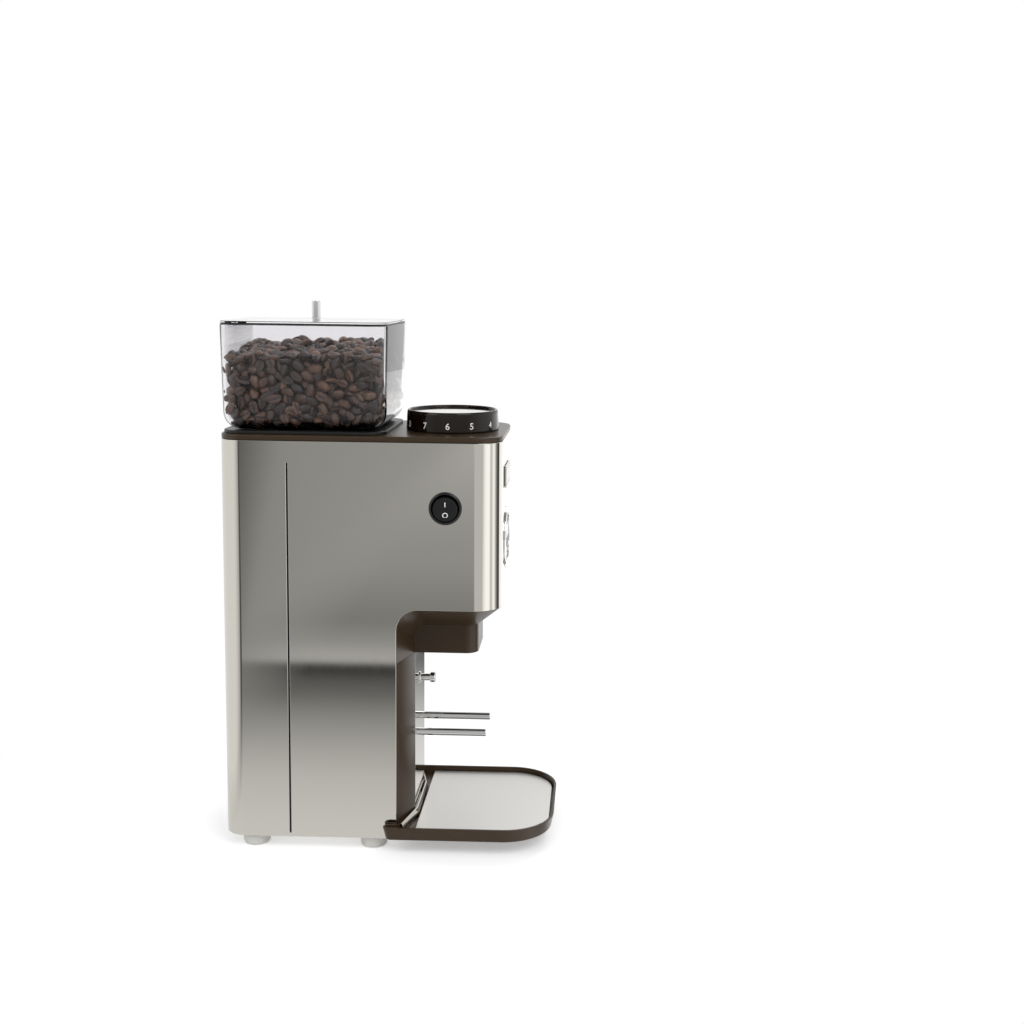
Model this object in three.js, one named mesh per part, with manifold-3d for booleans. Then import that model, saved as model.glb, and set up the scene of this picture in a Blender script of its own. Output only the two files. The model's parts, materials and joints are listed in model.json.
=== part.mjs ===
// Burr coffee grinder: a steel-cased home machine with a clear bean hopper, a grind dial,
// a fork that holds the filter handle, a push button that starts it, and a pull-off tray.
// Millimetres, +Z up, front towards -Y, origin on the table at the centre of the outline.
import * as THREE from 'three';
import { mergeVertices } from 'three/addons/utils/BufferGeometryUtils.js';
import { ConvexGeometry } from 'three/addons/geometries/ConvexGeometry.js';
import Module from 'manifold-3d';

const wasm = await Module();
wasm.setup();

// ---------------------------------------------------------------- driving dimensions
const SEAT = 0.3;                 // gap between pieces that rest on each other
const RUN = 0.5;                  // running clearance round anything that moves

const BODY_HALF_WIDTH = 61;
const BODY_FRONT = -89.5;
const BODY_BACK = 132.5;
const BODY_BOTTOM = 10;
const BODY_TOP = 329.6;
const BODY_FRONT_RADIUS = 20;
const BODY_BACK_RADIUS = 18;
const SHEET = 1.5;
const BAY_BACK = -7.6;            // vertical edge of the C-shaped cut in the casing sides
const BAY_TOP = 197;              // lower edge of the head
const BAY_RADIUS = 17;

const SEAM_Y = 77.6;
const SEAM_WIDTH = 1.6;
const SEAM_BOTTOM = 13.4;
const SEAM_TOP = BODY_TOP - 17;
const SEAM_STRIP_THICK = 2;
const SEAM_STRIP_WIDTH = 11;

const COLUMN_HALF = 28;           // flat middle of the column and of the chute block
const COLUMN_FACE = -18.1;
const LINING_THICK = 3;
const PANEL_THICK = 1.4;
const PANEL_BOTTOM = 23;
const CHUTE_FRONT = -69;
const CHUTE_TOP = 177;
const CHUTE_BOTTOM = 154;
const CHUTE_RADIUS = 10;
const CHUTE_INNER_RADIUS = 12;
const SPOUT_RADIUS = 12;
const SPOUT_WALL = 2;
const SPOUT_FLANGE = 3;           // how far the flange reaches past the spout
const SPOUT_FROM_WALL = 0.9;
const SPOUT_Y = COLUMN_FACE - CHUTE_INNER_RADIUS - SPOUT_FROM_WALL - SPOUT_FLANGE - SPOUT_RADIUS;

const COVER_THICK = 4.3;
const COVER_LIP_DEPTH = 6;
const COVER_LIP_WALL = 2.4;

const DIAL_RADIUS = 37.6;
const DIAL_FROM_FRONT = 6.8;       // cover left in front of the dial, where its index stands
const DIAL_Y = BODY_FRONT + DIAL_FROM_FRONT + DIAL_RADIUS;
const INDEX_RADIUS = 1.1;
const INDEX_GAP = 3.2;
const DIAL_HEIGHT = 16.2;
const DIAL_WALL = 3.2;
const DIAL_RECESS = 3;
const DIAL_DISC_THICK = 2;
const SPINDLE_RADIUS = 6;

const HOPPER_HALF_WIDTH = BODY_HALF_WIDTH - 2.3;
const HOPPER_FROM_DIAL = 8;
const HOPPER_FRONT = DIAL_Y + DIAL_RADIUS + HOPPER_FROM_DIAL;
const HOPPER_BACK = BODY_BACK;
const HOPPER_CORNER = 16;
const HOPPER_WALL = 2.6;
const HOPPER_DRAFT = 2;
const HOPPER_HEIGHT = 82;
const HOPPER_FLOOR_RADIUS = 13;
const HOPPER_BASE_THICK = 2.2;
const HOPPER_NECK_RADIUS = 21;
const HOPPER_NECK_DEPTH = 16;
const BEAN_DEPTH = 55;
const LID_THICK = 2.5;
const LID_PIN_RADIUS = 3.55;
const LID_PIN_HEIGHT = 15.3;

const FOOT_RADIUS = 11;
const FOOT_X = BODY_HALF_WIDTH - 14;
const FOOT_FRONT_Y = 12.6;
const FOOT_BACK_Y = BODY_BACK - 24.5;

const SWITCH_Y = -46.2;
const SWITCH_Z = BODY_TOP - 51.1;
const SWITCH_BEZEL_RADIUS = 13;
const SWITCH_RADIUS = 10.4;
const SWITCH_TILT = THREE.MathUtils.degToRad(7);

const DISPLAY_Z = BODY_TOP - 84.1;
const DISPLAY_RADIUS = 25.5;
const DISPLAY_BUTTON_X = 11.5;
const DISPLAY_BUTTON_RADIUS = 4.2;
const DISPLAY_BUTTON_DROP = 10;
const SCREEN_HALF_WIDTH = 12;
const SCREEN_HALF_HEIGHT = 6;
const SCREEN_RISE = 6;
const BOARD_SETBACK = 14;
const BADGE_Z = BODY_TOP - 31.6;
const BADGE_HALF_WIDTH = 22;
const BADGE_HALF_HEIGHT = 9;
const BADGE_THICK = 1.2;

const BUTTON_Z = 125;
const BUTTON_SHAFT_RADIUS = 2.9;
const BUTTON_HEAD_RADIUS = 4.3;
const BUTTON_HEAD_LENGTH = 4.2;
const BUTTON_TIP = -31;
const BUTTON_TRAVEL = 4;
const FORK_X = 20.7;
const FORK_Z = 85.3;
const FORK_RADIUS = 3;
const FORK_TIP = -75.7;

const TRAY_EAR_WIDTH = 9;          // how far each ear of the tray reaches past the casing
const TRAY_HALF_WIDTH = BODY_HALF_WIDTH + TRAY_EAR_WIDTH;
const TRAY_FRONT = -132.5;
const TRAY_EAR_BACK = 2.5;
const TRAY_FRONT_RADIUS = 40;
const TRAY_BOTTOM = 11.4;
const TRAY_TOP = 22.5;
const TRAY_DRAFT = 2.2;
const TRAY_FLOOR = 4.8;
const TRAY_WALL = 2.4;
const TONGUE_THICK = 2.4;
const TRAY_MAT_THICK = 2.4;
const TRAY_TRIM_THICK = 3;
const TRAY_TRIM_RISE = 7;

const GLAND_X = 30;
const GLAND_Z = 42;
const GLAND_RADIUS = 8;
const GLAND_BORE = 3.4;

const BASE_THICK = 2;
const BASE_SLOT_COUNT = 5;
const BASE_SLOT_PITCH = 12;
const BASE_SLOT_HALF_LENGTH = 22;
const BASE_SLOT_WIDTH = 4;
const BASE_SCREW_RADIUS = 1.7;
const BASE_SCREW_INSET = 12;
const BASE_SCREW_FROM_FOOT = 22;

const BUSH_RADIUS = 4.6;
const BRACKET_DEPTH = 12;
const BRACKET_MARGIN = 6;
const MICRO_HALF_WIDTH = 10;
const MICRO_HALF_HEIGHT = 6;
const MICRO_DEPTH = 16;
const MICRO_MOUNT_WALL = 4;

const MILL_Y = 66.5;              // axis of the motor, the burrs and the hopper neck
const MILL_DROP = 42.4;           // from the casing's top down to the meeting faces of the burrs
const BURR_RADIUS = 32;
const BURR_BORE = 18.5;
const BURR_THICK = 8;
const BURR_GAP = 0.8;
const BURR_TEETH = 12;
const HUB_THICK = 8;
const HUB_PADDLES = 3;
const CARRIER_THICK = 8;
const ARM_HALF_WIDTH = 9;
const CHAMBER_RADIUS = 46;
const CHAMBER_WALL = 3.5;
const CHAMBER_FLOOR = 14;
const CHAMBER_DROP = 36.9;        // from the meeting faces of the burrs down to the chamber's foot
const MOTOR_RADIUS = 44;
const MOTOR_WALL = 3;
const MOTOR_END = 4;
const MOTOR_LENGTH = 112;
const ROTOR_RADIUS = 26;
const SHAFT_RADIUS = 5;
const DECK_THICK = 4;
const BEARING_RADIUS = 11;
const BEARING_WIDTH = 8;
const CAPACITOR_RADIUS = 15;
const CAPACITOR_LENGTH = 72;
const CAPACITOR_X = -38;
const CAPACITOR_Y = 61;
const BOARD_HALF_WIDTH = 34;
const BOARD_THICK = 1.6;

const DUCT_HALF = SPOUT_RADIUS;
const DUCT_HEIGHT = 18;
const DUCT_WALL = 2;

// ---------------------------------------------------------------- levels that follow from them
const BASE_BOTTOM = BODY_BOTTOM + 1;
const BASE_TOP = BASE_BOTTOM + BASE_THICK;
const BRACKET_FRONT = COLUMN_FACE + LINING_THICK + SEAT;
const SPOUT_TOP = BAY_TOP + 15;
const COVER_BOTTOM = BODY_TOP + SEAT;
const COVER_TOP = COVER_BOTTOM + COVER_THICK;
const HOPPER_BASE_BOTTOM = COVER_TOP + SEAT;
const HOPPER_BOTTOM = HOPPER_BASE_BOTTOM + HOPPER_BASE_THICK + SEAT;
const HOPPER_TOP = HOPPER_BOTTOM + HOPPER_HEIGHT;
const DIAL_BOTTOM = COVER_TOP + SEAT;
const DIAL_TOP = DIAL_BOTTOM + DIAL_HEIGHT;
const BURR_LOW_TOP = BODY_TOP - MILL_DROP;
const BURR_LOW_BOTTOM = BURR_LOW_TOP - BURR_THICK;
const BURR_HIGH_BOTTOM = BURR_LOW_TOP + BURR_GAP;
const BURR_HIGH_TOP = BURR_HIGH_BOTTOM + BURR_THICK;
const CARRIER_BOTTOM = BURR_HIGH_TOP + SEAT;
const CARRIER_TOP = CARRIER_BOTTOM + CARRIER_THICK;
const YOKE_Z = CARRIER_TOP - 4.3;
const CHAMBER_BOTTOM = BURR_LOW_TOP - CHAMBER_DROP;
const DECK_Z = CHAMBER_BOTTOM - SEAT - DECK_THICK;

// ---------------------------------------------------------------- materials
function finish(color, roughness, metalness = 0, opacity = 1) {
  const transparent = opacity < 1;
  return new THREE.MeshStandardMaterial({ color, roughness, metalness, opacity, transparent });
}

const POLISHED_STEEL = finish(0xb9b6ae, 0.22, 1);
const SATIN_STEEL = finish(0xbdbcba, 0.4, 1);
const CHROME = finish(0xd8d8d8, 0.08, 1);
const BROWN_PLASTIC = finish(0x43382c, 0.35);
const BLACK_PLASTIC = finish(0x1b1b1c, 0.4);
const CLEAR_PLASTIC = finish(0xf2f4f4, 0.05, 0, 0.3);
const GREY_RUBBER = finish(0xbebec6, 0.7);
const BEANS = finish(0x3b2b22, 0.6);
const TOOL_STEEL = finish(0x8d8f92, 0.35, 1);
const CAST_ALUMINIUM = finish(0x9da0a3, 0.5, 1);
const MOTOR_LAMINATE = finish(0x55585c, 0.5, 0.8);
const SCREEN_GLASS = finish(0x10161c, 0.1);
const BOARD_GREEN = finish(0x1f5a3a, 0.6);

// ---------------------------------------------------------------- shape helpers
// A closed geometry as a solid that can be joined and cut.
function solid(geometry) {
  const bare = geometry.clone();
  bare.deleteAttribute('normal');
  bare.deleteAttribute('uv');
  const merged = mergeVertices(bare, 1e-4);
  return new wasm.Manifold(new wasm.Mesh({
    numProp: 3,
    vertProperties: Float32Array.from(merged.attributes.position.array),
    triVerts: Uint32Array.from(merged.index.array),
  }));
}

function geometryOf(body) {
  const mesh = body.getMesh();
  const geometry = new THREE.BufferGeometry();
  geometry.setAttribute('position', new THREE.BufferAttribute(mesh.vertProperties, 3));
  geometry.setIndex(new THREE.BufferAttribute(mesh.triVerts, 1));
  return geometry;
}

function union(...bodies) {
  return bodies.reduce((sum, body) => sum.add(body));
}

// Cylinder or cone along an axis ('x', 'y' or 'z') from one coordinate to another.
function rod(axis, at, from, to, radius, endRadius = radius, sides = 20) {
  const geometry = new THREE.CylinderGeometry(endRadius, radius, to - from, sides);
  const middle = (from + to) / 2;
  if (axis === 'x') {
    geometry.rotateZ(-Math.PI / 2);
    geometry.translate(middle, at[0], at[1]);
  } else if (axis === 'y') {
    geometry.translate(at[0], middle, at[1]);
  } else {
    geometry.rotateX(Math.PI / 2);
    geometry.translate(at[0], at[1], middle);
  }
  return solid(geometry);
}

function tube(axis, at, from, to, outer, inner, sides = 20) {
  const bore = rod(axis, at, from - 1, to + 1, inner, inner, sides);
  return rod(axis, at, from, to, outer, outer, sides).subtract(bore);
}

function block(x0, x1, y0, y1, z0, z1) {
  const geometry = new THREE.BoxGeometry(x1 - x0, y1 - y0, z1 - z0);
  geometry.translate((x0 + x1) / 2, (y0 + y1) / 2, (z0 + z1) / 2);
  return solid(geometry);
}

// Outline of a rectangle with rounded corners, the front pair and the back pair set apart.
function outline(halfWidth, front, back, frontRadius, backRadius, inset = 0, steps = 6) {
  const corners = [
    [halfWidth, front, frontRadius, -1, -Math.PI / 2],
    [halfWidth, back, backRadius, 1, 0],
    [-halfWidth, back, backRadius, 1, Math.PI / 2],
    [-halfWidth, front, frontRadius, -1, Math.PI],
  ];
  return corners.flatMap(([x, y, corner, side, start]) => {
    const radius = Math.max(corner - inset, 0.4);
    const cx = x - Math.sign(x) * (inset + radius);
    const cy = y - side * (inset + radius);
    return Array.from({ length: steps + 1 }, (_, i) => {
      const angle = start + (i / steps) * (Math.PI / 2);
      return new THREE.Vector2(cx + radius * Math.cos(angle), cy + radius * Math.sin(angle));
    });
  });
}

// Solid skinned through sections with the same number of points; place() puts each in space.
function loft(sections, place) {
  const count = sections[0].length;
  const positions = sections.flatMap((section, i) => section.flatMap((p) => place(p, i).toArray()));
  const index = [];
  for (let i = 0; i + 1 < sections.length; i += 1) {
    for (let k = 0; k < count; k += 1) {
      const a = i * count + k;
      const b = i * count + ((k + 1) % count);
      index.push(a, b, b + count, a, b + count, a + count);
    }
  }
  const last = (sections.length - 1) * count;
  for (const [a, b, c] of THREE.ShapeUtils.triangulateShape(sections[0], [])) index.push(a, c, b);
  for (const [a, b, c] of THREE.ShapeUtils.triangulateShape(sections.at(-1), [])) {
    index.push(last + a, last + b, last + c);
  }
  const geometry = new THREE.BufferGeometry();
  geometry.setAttribute('position', new THREE.Float32BufferAttribute(positions, 3));
  geometry.setIndex(index);
  return solid(geometry);
}

// Stack of level outlines: each level is [outline, height].
function stack(levels) {
  return loft(levels.map(([ring]) => ring), (p, i) => new THREE.Vector3(p.x, p.y, levels[i][1]));
}

function prism(ring, z0, z1) {
  return stack([[ring, z0], [ring, z1]]);
}

function hull(levels) {
  const points = levels.flatMap(([ring, z]) => ring.map((p) => new THREE.Vector3(p.x, p.y, z)));
  return solid(new ConvexGeometry(points));
}

const machine = new THREE.Group();

function add(name, body, material) {
  const mesh = new THREE.Mesh(geometryOf(body), material);
  mesh.name = name;
  machine.add(mesh);
  return mesh;
}

// ---------------------------------------------------------------- casing
function bodyOutline(inset = 0) {
  return outline(BODY_HALF_WIDTH, BODY_FRONT, BODY_BACK, BODY_FRONT_RADIUS, BODY_BACK_RADIUS, inset);
}

// Side profile of the bay under the head, pushed back from the casing edge by a gap.
function bayCut() {
  const ahead = BODY_FRONT - 10;
  const shape = new THREE.Shape();
  shape.moveTo(ahead, BODY_BOTTOM - 5);
  shape.lineTo(BAY_BACK, BODY_BOTTOM - 5);
  shape.absarc(BAY_BACK - BAY_RADIUS, BAY_TOP - BAY_RADIUS, BAY_RADIUS, 0, Math.PI / 2);
  shape.lineTo(ahead, BAY_TOP);
  const depth = 2 * BODY_HALF_WIDTH + 20;
  const geometry = new THREE.ExtrudeGeometry(shape, { depth, bevelEnabled: false, curveSegments: 10 });
  geometry.rotateX(Math.PI / 2);
  geometry.rotateZ(Math.PI / 2);
  geometry.translate(-depth / 2, 0, 0);
  return solid(geometry);
}

function buildShell() {
  const seam = block(-BODY_HALF_WIDTH - 5, BODY_HALF_WIDTH + 5,
    SEAM_Y - SEAM_WIDTH / 2, SEAM_Y + SEAM_WIDTH / 2, SEAM_BOTTOM, SEAM_TOP);
  const inside = prism(bodyOutline(SHEET), BODY_BOTTOM - 1, BODY_TOP + 1);
  const switchHole = rod('x', [SWITCH_Y, SWITCH_Z], -BODY_HALF_WIDTH - 5, -BODY_HALF_WIDTH + 5,
    SWITCH_RADIUS + 1.2);
  const displayHole = rod('y', [0, DISPLAY_Z], BODY_FRONT - 5, BODY_FRONT + 5, DISPLAY_RADIUS - 2.2,
    DISPLAY_RADIUS - 2.2, 28);
  const glandHole = rod('y', [GLAND_X, GLAND_Z], BODY_BACK - 5, BODY_BACK + 5, GLAND_RADIUS + SEAT);
  const shell = prism(bodyOutline(), BODY_BOTTOM, BODY_TOP)
    .subtract(inside)
    .subtract(bayCut())
    .subtract(seam)
    .subtract(switchHole)
    .subtract(displayHole)
    .subtract(glandHole);
  add('body_shell', shell, POLISHED_STEEL);
}

function buildSeamStrips() {
  const outer = BODY_HALF_WIDTH - SHEET - SEAT;
  for (const [name, side] of [['seam_strip_left', -1], ['seam_strip_right', 1]]) {
    const faces = [side * outer, side * (outer - SEAM_STRIP_THICK)].sort((a, b) => a - b);
    const strip = block(faces[0], faces[1], SEAM_Y - SEAM_STRIP_WIDTH / 2,
      SEAM_Y + SEAM_STRIP_WIDTH / 2, BASE_TOP + SEAT, BODY_TOP - COVER_LIP_DEPTH - SEAT);
    add(name, strip, BLACK_PLASTIC);
  }
}

function screwPlaces() {
  const x = BODY_HALF_WIDTH - BASE_SCREW_INSET;
  return [
    ['base_screw_1', -x, FOOT_FRONT_Y + BASE_SCREW_FROM_FOOT],
    ['base_screw_2', x, FOOT_FRONT_Y + BASE_SCREW_FROM_FOOT],
    ['base_screw_3', -x, FOOT_BACK_Y - BASE_SCREW_FROM_FOOT],
    ['base_screw_4', x, FOOT_BACK_Y - BASE_SCREW_FROM_FOOT],
  ];
}

function buildBase() {
  const inset = SHEET + SEAT;
  const ring = outline(BODY_HALF_WIDTH, BAY_BACK + 2, BODY_BACK, 2, BODY_BACK_RADIUS, inset);
  const side = BODY_HALF_WIDTH - 2.7;
  const tip = COLUMN_HALF - 1.5;
  const noseFront = COLUMN_FACE + LINING_THICK + RUN;
  const nose = [[-side, BAY_BACK + 2.7], [-tip, noseFront], [tip, noseFront], [side, BAY_BACK + 2.7],
    [side, BAY_BACK + 6], [-side, BAY_BACK + 6]].map(([x, y]) => new THREE.Vector2(x, y));
  let plate = prism(ring, BASE_BOTTOM, BASE_TOP).add(prism(nose, BASE_BOTTOM, BASE_TOP));
  for (let i = 0; i < BASE_SLOT_COUNT; i += 1) {
    const y = MILL_Y + (i - (BASE_SLOT_COUNT - 1) / 2) * BASE_SLOT_PITCH;
    plate = plate.subtract(block(-BASE_SLOT_HALF_LENGTH, BASE_SLOT_HALF_LENGTH,
      y - BASE_SLOT_WIDTH / 2, y + BASE_SLOT_WIDTH / 2, BASE_BOTTOM - 1, BASE_TOP + 1));
  }
  for (const [, x, y] of screwPlaces()) {
    plate = plate.subtract(rod('z', [x, y], BASE_BOTTOM - 1, BASE_TOP + 1, BASE_SCREW_RADIUS + SEAT));
  }
  add('base_plate', plate, SATIN_STEEL);
  for (const [name, x, y] of screwPlaces()) {
    const head = rod('z', [x, y], BASE_BOTTOM - SEAT - 2, BASE_BOTTOM - SEAT, 3, 3.2, 24);
    const shank = rod('z', [x, y], BASE_BOTTOM - SEAT - 0.5, BASE_TOP + 4, BASE_SCREW_RADIUS);
    add(name, head.add(shank), CHROME);
  }
}

function buildFeet() {
  for (const [name, x, y] of [
    ['foot_front_left', -FOOT_X, FOOT_FRONT_Y], ['foot_front_right', FOOT_X, FOOT_FRONT_Y],
    ['foot_rear_left', -FOOT_X, FOOT_BACK_Y], ['foot_rear_right', FOOT_X, FOOT_BACK_Y]]) {
    const top = BASE_BOTTOM - SEAT;
    const profile = [
      [0, 0], [FOOT_RADIUS - 1.6, 0], [FOOT_RADIUS - 0.6, 1], [FOOT_RADIUS, top - 1.5],
      [FOOT_RADIUS - 0.4, top], [0, top],
    ].map(([r, z]) => new THREE.Vector2(r, z));
    const geometry = new THREE.LatheGeometry(profile, 24);
    geometry.rotateX(Math.PI / 2);
    geometry.translate(x, y, 0);
    add(name, solid(geometry), GREY_RUBBER);
  }
}

// ---------------------------------------------------------------- top cover
function buildCover() {
  const plate = stack([
    [bodyOutline(0.3), COVER_BOTTOM],
    [bodyOutline(), COVER_BOTTOM + 0.4],
    [bodyOutline(), COVER_TOP - 1.2],
    [bodyOutline(0.35), COVER_TOP - 0.35],
    [bodyOutline(1.2), COVER_TOP],
  ]);
  const lipInset = SHEET + SEAT;
  const lip = prism(bodyOutline(lipInset), BODY_TOP - COVER_LIP_DEPTH, COVER_BOTTOM + 1)
    .subtract(prism(bodyOutline(lipInset + COVER_LIP_WALL), BODY_TOP - COVER_LIP_DEPTH - 1, COVER_BOTTOM));
  const throat = rod('z', [0, MILL_Y], COVER_BOTTOM - 1, COVER_TOP + 1, HOPPER_NECK_RADIUS + RUN);
  const spindleHole = rod('z', [0, DIAL_Y], COVER_BOTTOM - 1, COVER_TOP + 1, SPINDLE_RADIUS + RUN);
  const index = rod('z', [0, DIAL_Y - DIAL_RADIUS - INDEX_GAP], COVER_TOP - 1, COVER_TOP + 0.7,
    INDEX_RADIUS, INDEX_RADIUS - 0.2);
  const cover = union(plate, lip, index).subtract(throat).subtract(spindleHole);
  add('top_cover', cover, BROWN_PLASTIC);
}

// ---------------------------------------------------------------- column and chute
// Wall that follows the bay: its outer edges lie on the casing's edge and its middle stands proud.
function liningSection() {
  const edge = BODY_HALF_WIDTH - 0.2;
  const inner = BODY_HALF_WIDTH - SHEET - 0.4;
  return [
    [-edge, 0], [-COLUMN_HALF, 0], [COLUMN_HALF, 0], [edge, 0], [inner, 0.5], [inner, LINING_THICK],
    [COLUMN_HALF - 1, LINING_THICK], [1 - COLUMN_HALF, LINING_THICK], [-inner, LINING_THICK], [-inner, 0.5],
  ].map(([x, d]) => new THREE.Vector2(x, d));
}

// Stations along the bay profile: the point on the casing's edge, the point on the flat middle
// and the direction into the machine, each as (y, z).
function liningStation(outerPoint, innerPoint, angle) {
  const edge = BODY_HALF_WIDTH - 0.2;
  const inward = new THREE.Vector2(Math.cos(angle), Math.sin(angle));
  return (p) => {
    const share = THREE.MathUtils.clamp((Math.abs(p.x) - COLUMN_HALF) / (edge - COLUMN_HALF), 0, 1);
    const base = innerPoint.clone().lerp(outerPoint, share).addScaledVector(inward, p.y);
    return new THREE.Vector3(p.x, base.x, base.y);
  };
}

function straightStation(z) {
  return liningStation(new THREE.Vector2(BAY_BACK - SEAT, z), new THREE.Vector2(COLUMN_FACE, z), 0);
}

function cornerStation(angle) {
  const ray = new THREE.Vector2(Math.cos(angle), Math.sin(angle));
  const outerPoint = new THREE.Vector2(BAY_BACK - BAY_RADIUS, BAY_TOP - BAY_RADIUS)
    .addScaledVector(ray, BAY_RADIUS - SEAT);
  const innerPoint = new THREE.Vector2(COLUMN_FACE - CHUTE_INNER_RADIUS, CHUTE_TOP - CHUTE_INNER_RADIUS)
    .addScaledVector(ray, CHUTE_INNER_RADIUS);
  return liningStation(outerPoint, innerPoint, angle);
}

function headStation(advance) {
  const outerPoint = new THREE.Vector2(BAY_BACK - BAY_RADIUS - advance, BAY_TOP - SEAT);
  const innerPoint = new THREE.Vector2(COLUMN_FACE - CHUTE_INNER_RADIUS - advance, CHUTE_TOP);
  return liningStation(outerPoint, innerPoint, Math.PI / 2);
}

function liningLoft(stations) {
  const section = liningSection();
  return loft(stations.map(() => section), (p, i) => stations[i](p));
}

function buildColumn() {
  const pocket = block(-COLUMN_HALF + 0.4, COLUMN_HALF - 0.4, COLUMN_FACE - 5,
    COLUMN_FACE + PANEL_THICK + SEAT, PANEL_BOTTOM, CHUTE_BOTTOM + 5);
  const rodHoles = [-FORK_X, FORK_X].map((x) => rod('y', [x, FORK_Z], COLUMN_FACE - 5,
    COLUMN_FACE + LINING_THICK + 5, FORK_RADIUS + SEAT));
  const buttonHole = rod('y', [0, BUTTON_Z], COLUMN_FACE - 5, COLUMN_FACE + LINING_THICK + 5,
    BUSH_RADIUS + SEAT);
  const holes = union(buttonHole, ...rodHoles);
  const tongues = tongueBlocks(RUN);
  const lining = liningLoft([straightStation(BASE_BOTTOM), straightStation(CHUTE_BOTTOM - SEAT)])
    .subtract(pocket).subtract(holes).subtract(tongues);
  add('column_lining', lining, BROWN_PLASTIC);

  const panel = block(-COLUMN_HALF + 0.8, COLUMN_HALF - 0.8, COLUMN_FACE,
    COLUMN_FACE + PANEL_THICK, PANEL_BOTTOM + SEAT, CHUTE_BOTTOM - 2 * SEAT);
  add('column_panel', panel.subtract(holes), POLISHED_STEEL);
}

function buildChuteHousing() {
  const stations = [straightStation(CHUTE_BOTTOM)];
  const steps = 6;
  for (let i = 0; i <= steps; i += 1) stations.push(cornerStation((i / steps) * (Math.PI / 2)));
  stations.push(headStation(10));
  const corner = liningLoft(stations);

  const headBack = BAY_BACK - BAY_RADIUS;
  const lowBack = COLUMN_FACE - CHUTE_INNER_RADIUS;
  const wide = (inset) => outline(BODY_HALF_WIDTH, BODY_FRONT, headBack, BODY_FRONT_RADIUS, 0.4, inset);
  const low = (inset) => outline(COLUMN_HALF, CHUTE_FRONT, lowBack, CHUTE_RADIUS, 0.4, inset);
  const funnel = hull([[wide(0.2), BAY_TOP - SEAT], [low(0), CHUTE_TOP]]);
  const rim = prism(wide(SHEET + 0.4), BAY_TOP - 2, BAY_TOP + 4);
  const hollow = hull([[wide(SHEET + 2.4), BAY_TOP - SEAT], [low(LINING_THICK), CHUTE_TOP + 2.5]])
    .add(prism(wide(SHEET + 2.4), BAY_TOP - SEAT - 0.1, BAY_TOP + 5));

  const nose = (inset) => outline(COLUMN_HALF, CHUTE_FRONT, COLUMN_FACE + 1, CHUTE_RADIUS, 0.4, inset);
  const chin = stack([
    [nose(1), CHUTE_BOTTOM], [nose(0.3), CHUTE_BOTTOM + 0.3], [nose(0), CHUTE_BOTTOM + 1],
    [nose(0), CHUTE_TOP + 0.5]]);
  const wellRing = outline(COLUMN_HALF, CHUTE_FRONT, lowBack + LINING_THICK, CHUTE_RADIUS, 0.4,
    LINING_THICK);
  const well = prism(wellRing, CHUTE_BOTTOM + LINING_THICK, CHUTE_TOP + 3);
  const backOpening = block(-BODY_HALF_WIDTH + 8, BODY_HALF_WIDTH - 8, headBack - 3, headBack + 4,
    BAY_TOP - 0.5, BAY_TOP + 6);
  const outlet = rod('z', [0, SPOUT_Y], CHUTE_BOTTOM - 2, CHUTE_BOTTOM + 6, SPOUT_RADIUS + SEAT);
  const housing = union(corner, funnel, rim, chin)
    .subtract(hollow).subtract(well).subtract(backOpening).subtract(outlet);
  add('chute_housing', housing, BROWN_PLASTIC);

  const spout = rod('z', [0, SPOUT_Y], CHUTE_BOTTOM + 0.6, SPOUT_TOP, SPOUT_RADIUS)
    .subtract(rod('z', [0, SPOUT_Y], CHUTE_BOTTOM - 1, SPOUT_TOP + 1, SPOUT_RADIUS - SPOUT_WALL));
  const flange = tube('z', [0, SPOUT_Y], CHUTE_BOTTOM + LINING_THICK + SEAT,
    CHUTE_BOTTOM + LINING_THICK + 2, SPOUT_RADIUS + SPOUT_FLANGE, SPOUT_RADIUS - SPOUT_WALL);
  add('chute_spout', spout.add(flange), BLACK_PLASTIC);
}

// ---------------------------------------------------------------- fork and start button
function buildFork() {
  const back = BRACKET_FRONT + BRACKET_DEPTH - 2;
  for (const [name, x] of [['fork_rod_left', -FORK_X], ['fork_rod_right', FORK_X]]) {
    const bar = rod('y', [x, FORK_Z], FORK_TIP + 0.6, back, FORK_RADIUS);
    const tip = rod('y', [x, FORK_Z], FORK_TIP, FORK_TIP + 0.6, FORK_RADIUS - 0.6, FORK_RADIUS);
    add(name, bar.add(tip), CHROME);
  }
  const half = FORK_X + BRACKET_MARGIN;
  let bracket = block(-half, half, BRACKET_FRONT, BRACKET_FRONT + BRACKET_DEPTH,
    FORK_Z - 7, FORK_Z + 7);
  for (const x of [-FORK_X, FORK_X]) {
    bracket = bracket.subtract(rod('y', [x, FORK_Z], BRACKET_FRONT - 1, back + SEAT, FORK_RADIUS + SEAT));
  }
  add('fork_bracket', bracket, CAST_ALUMINIUM);
}

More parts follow.
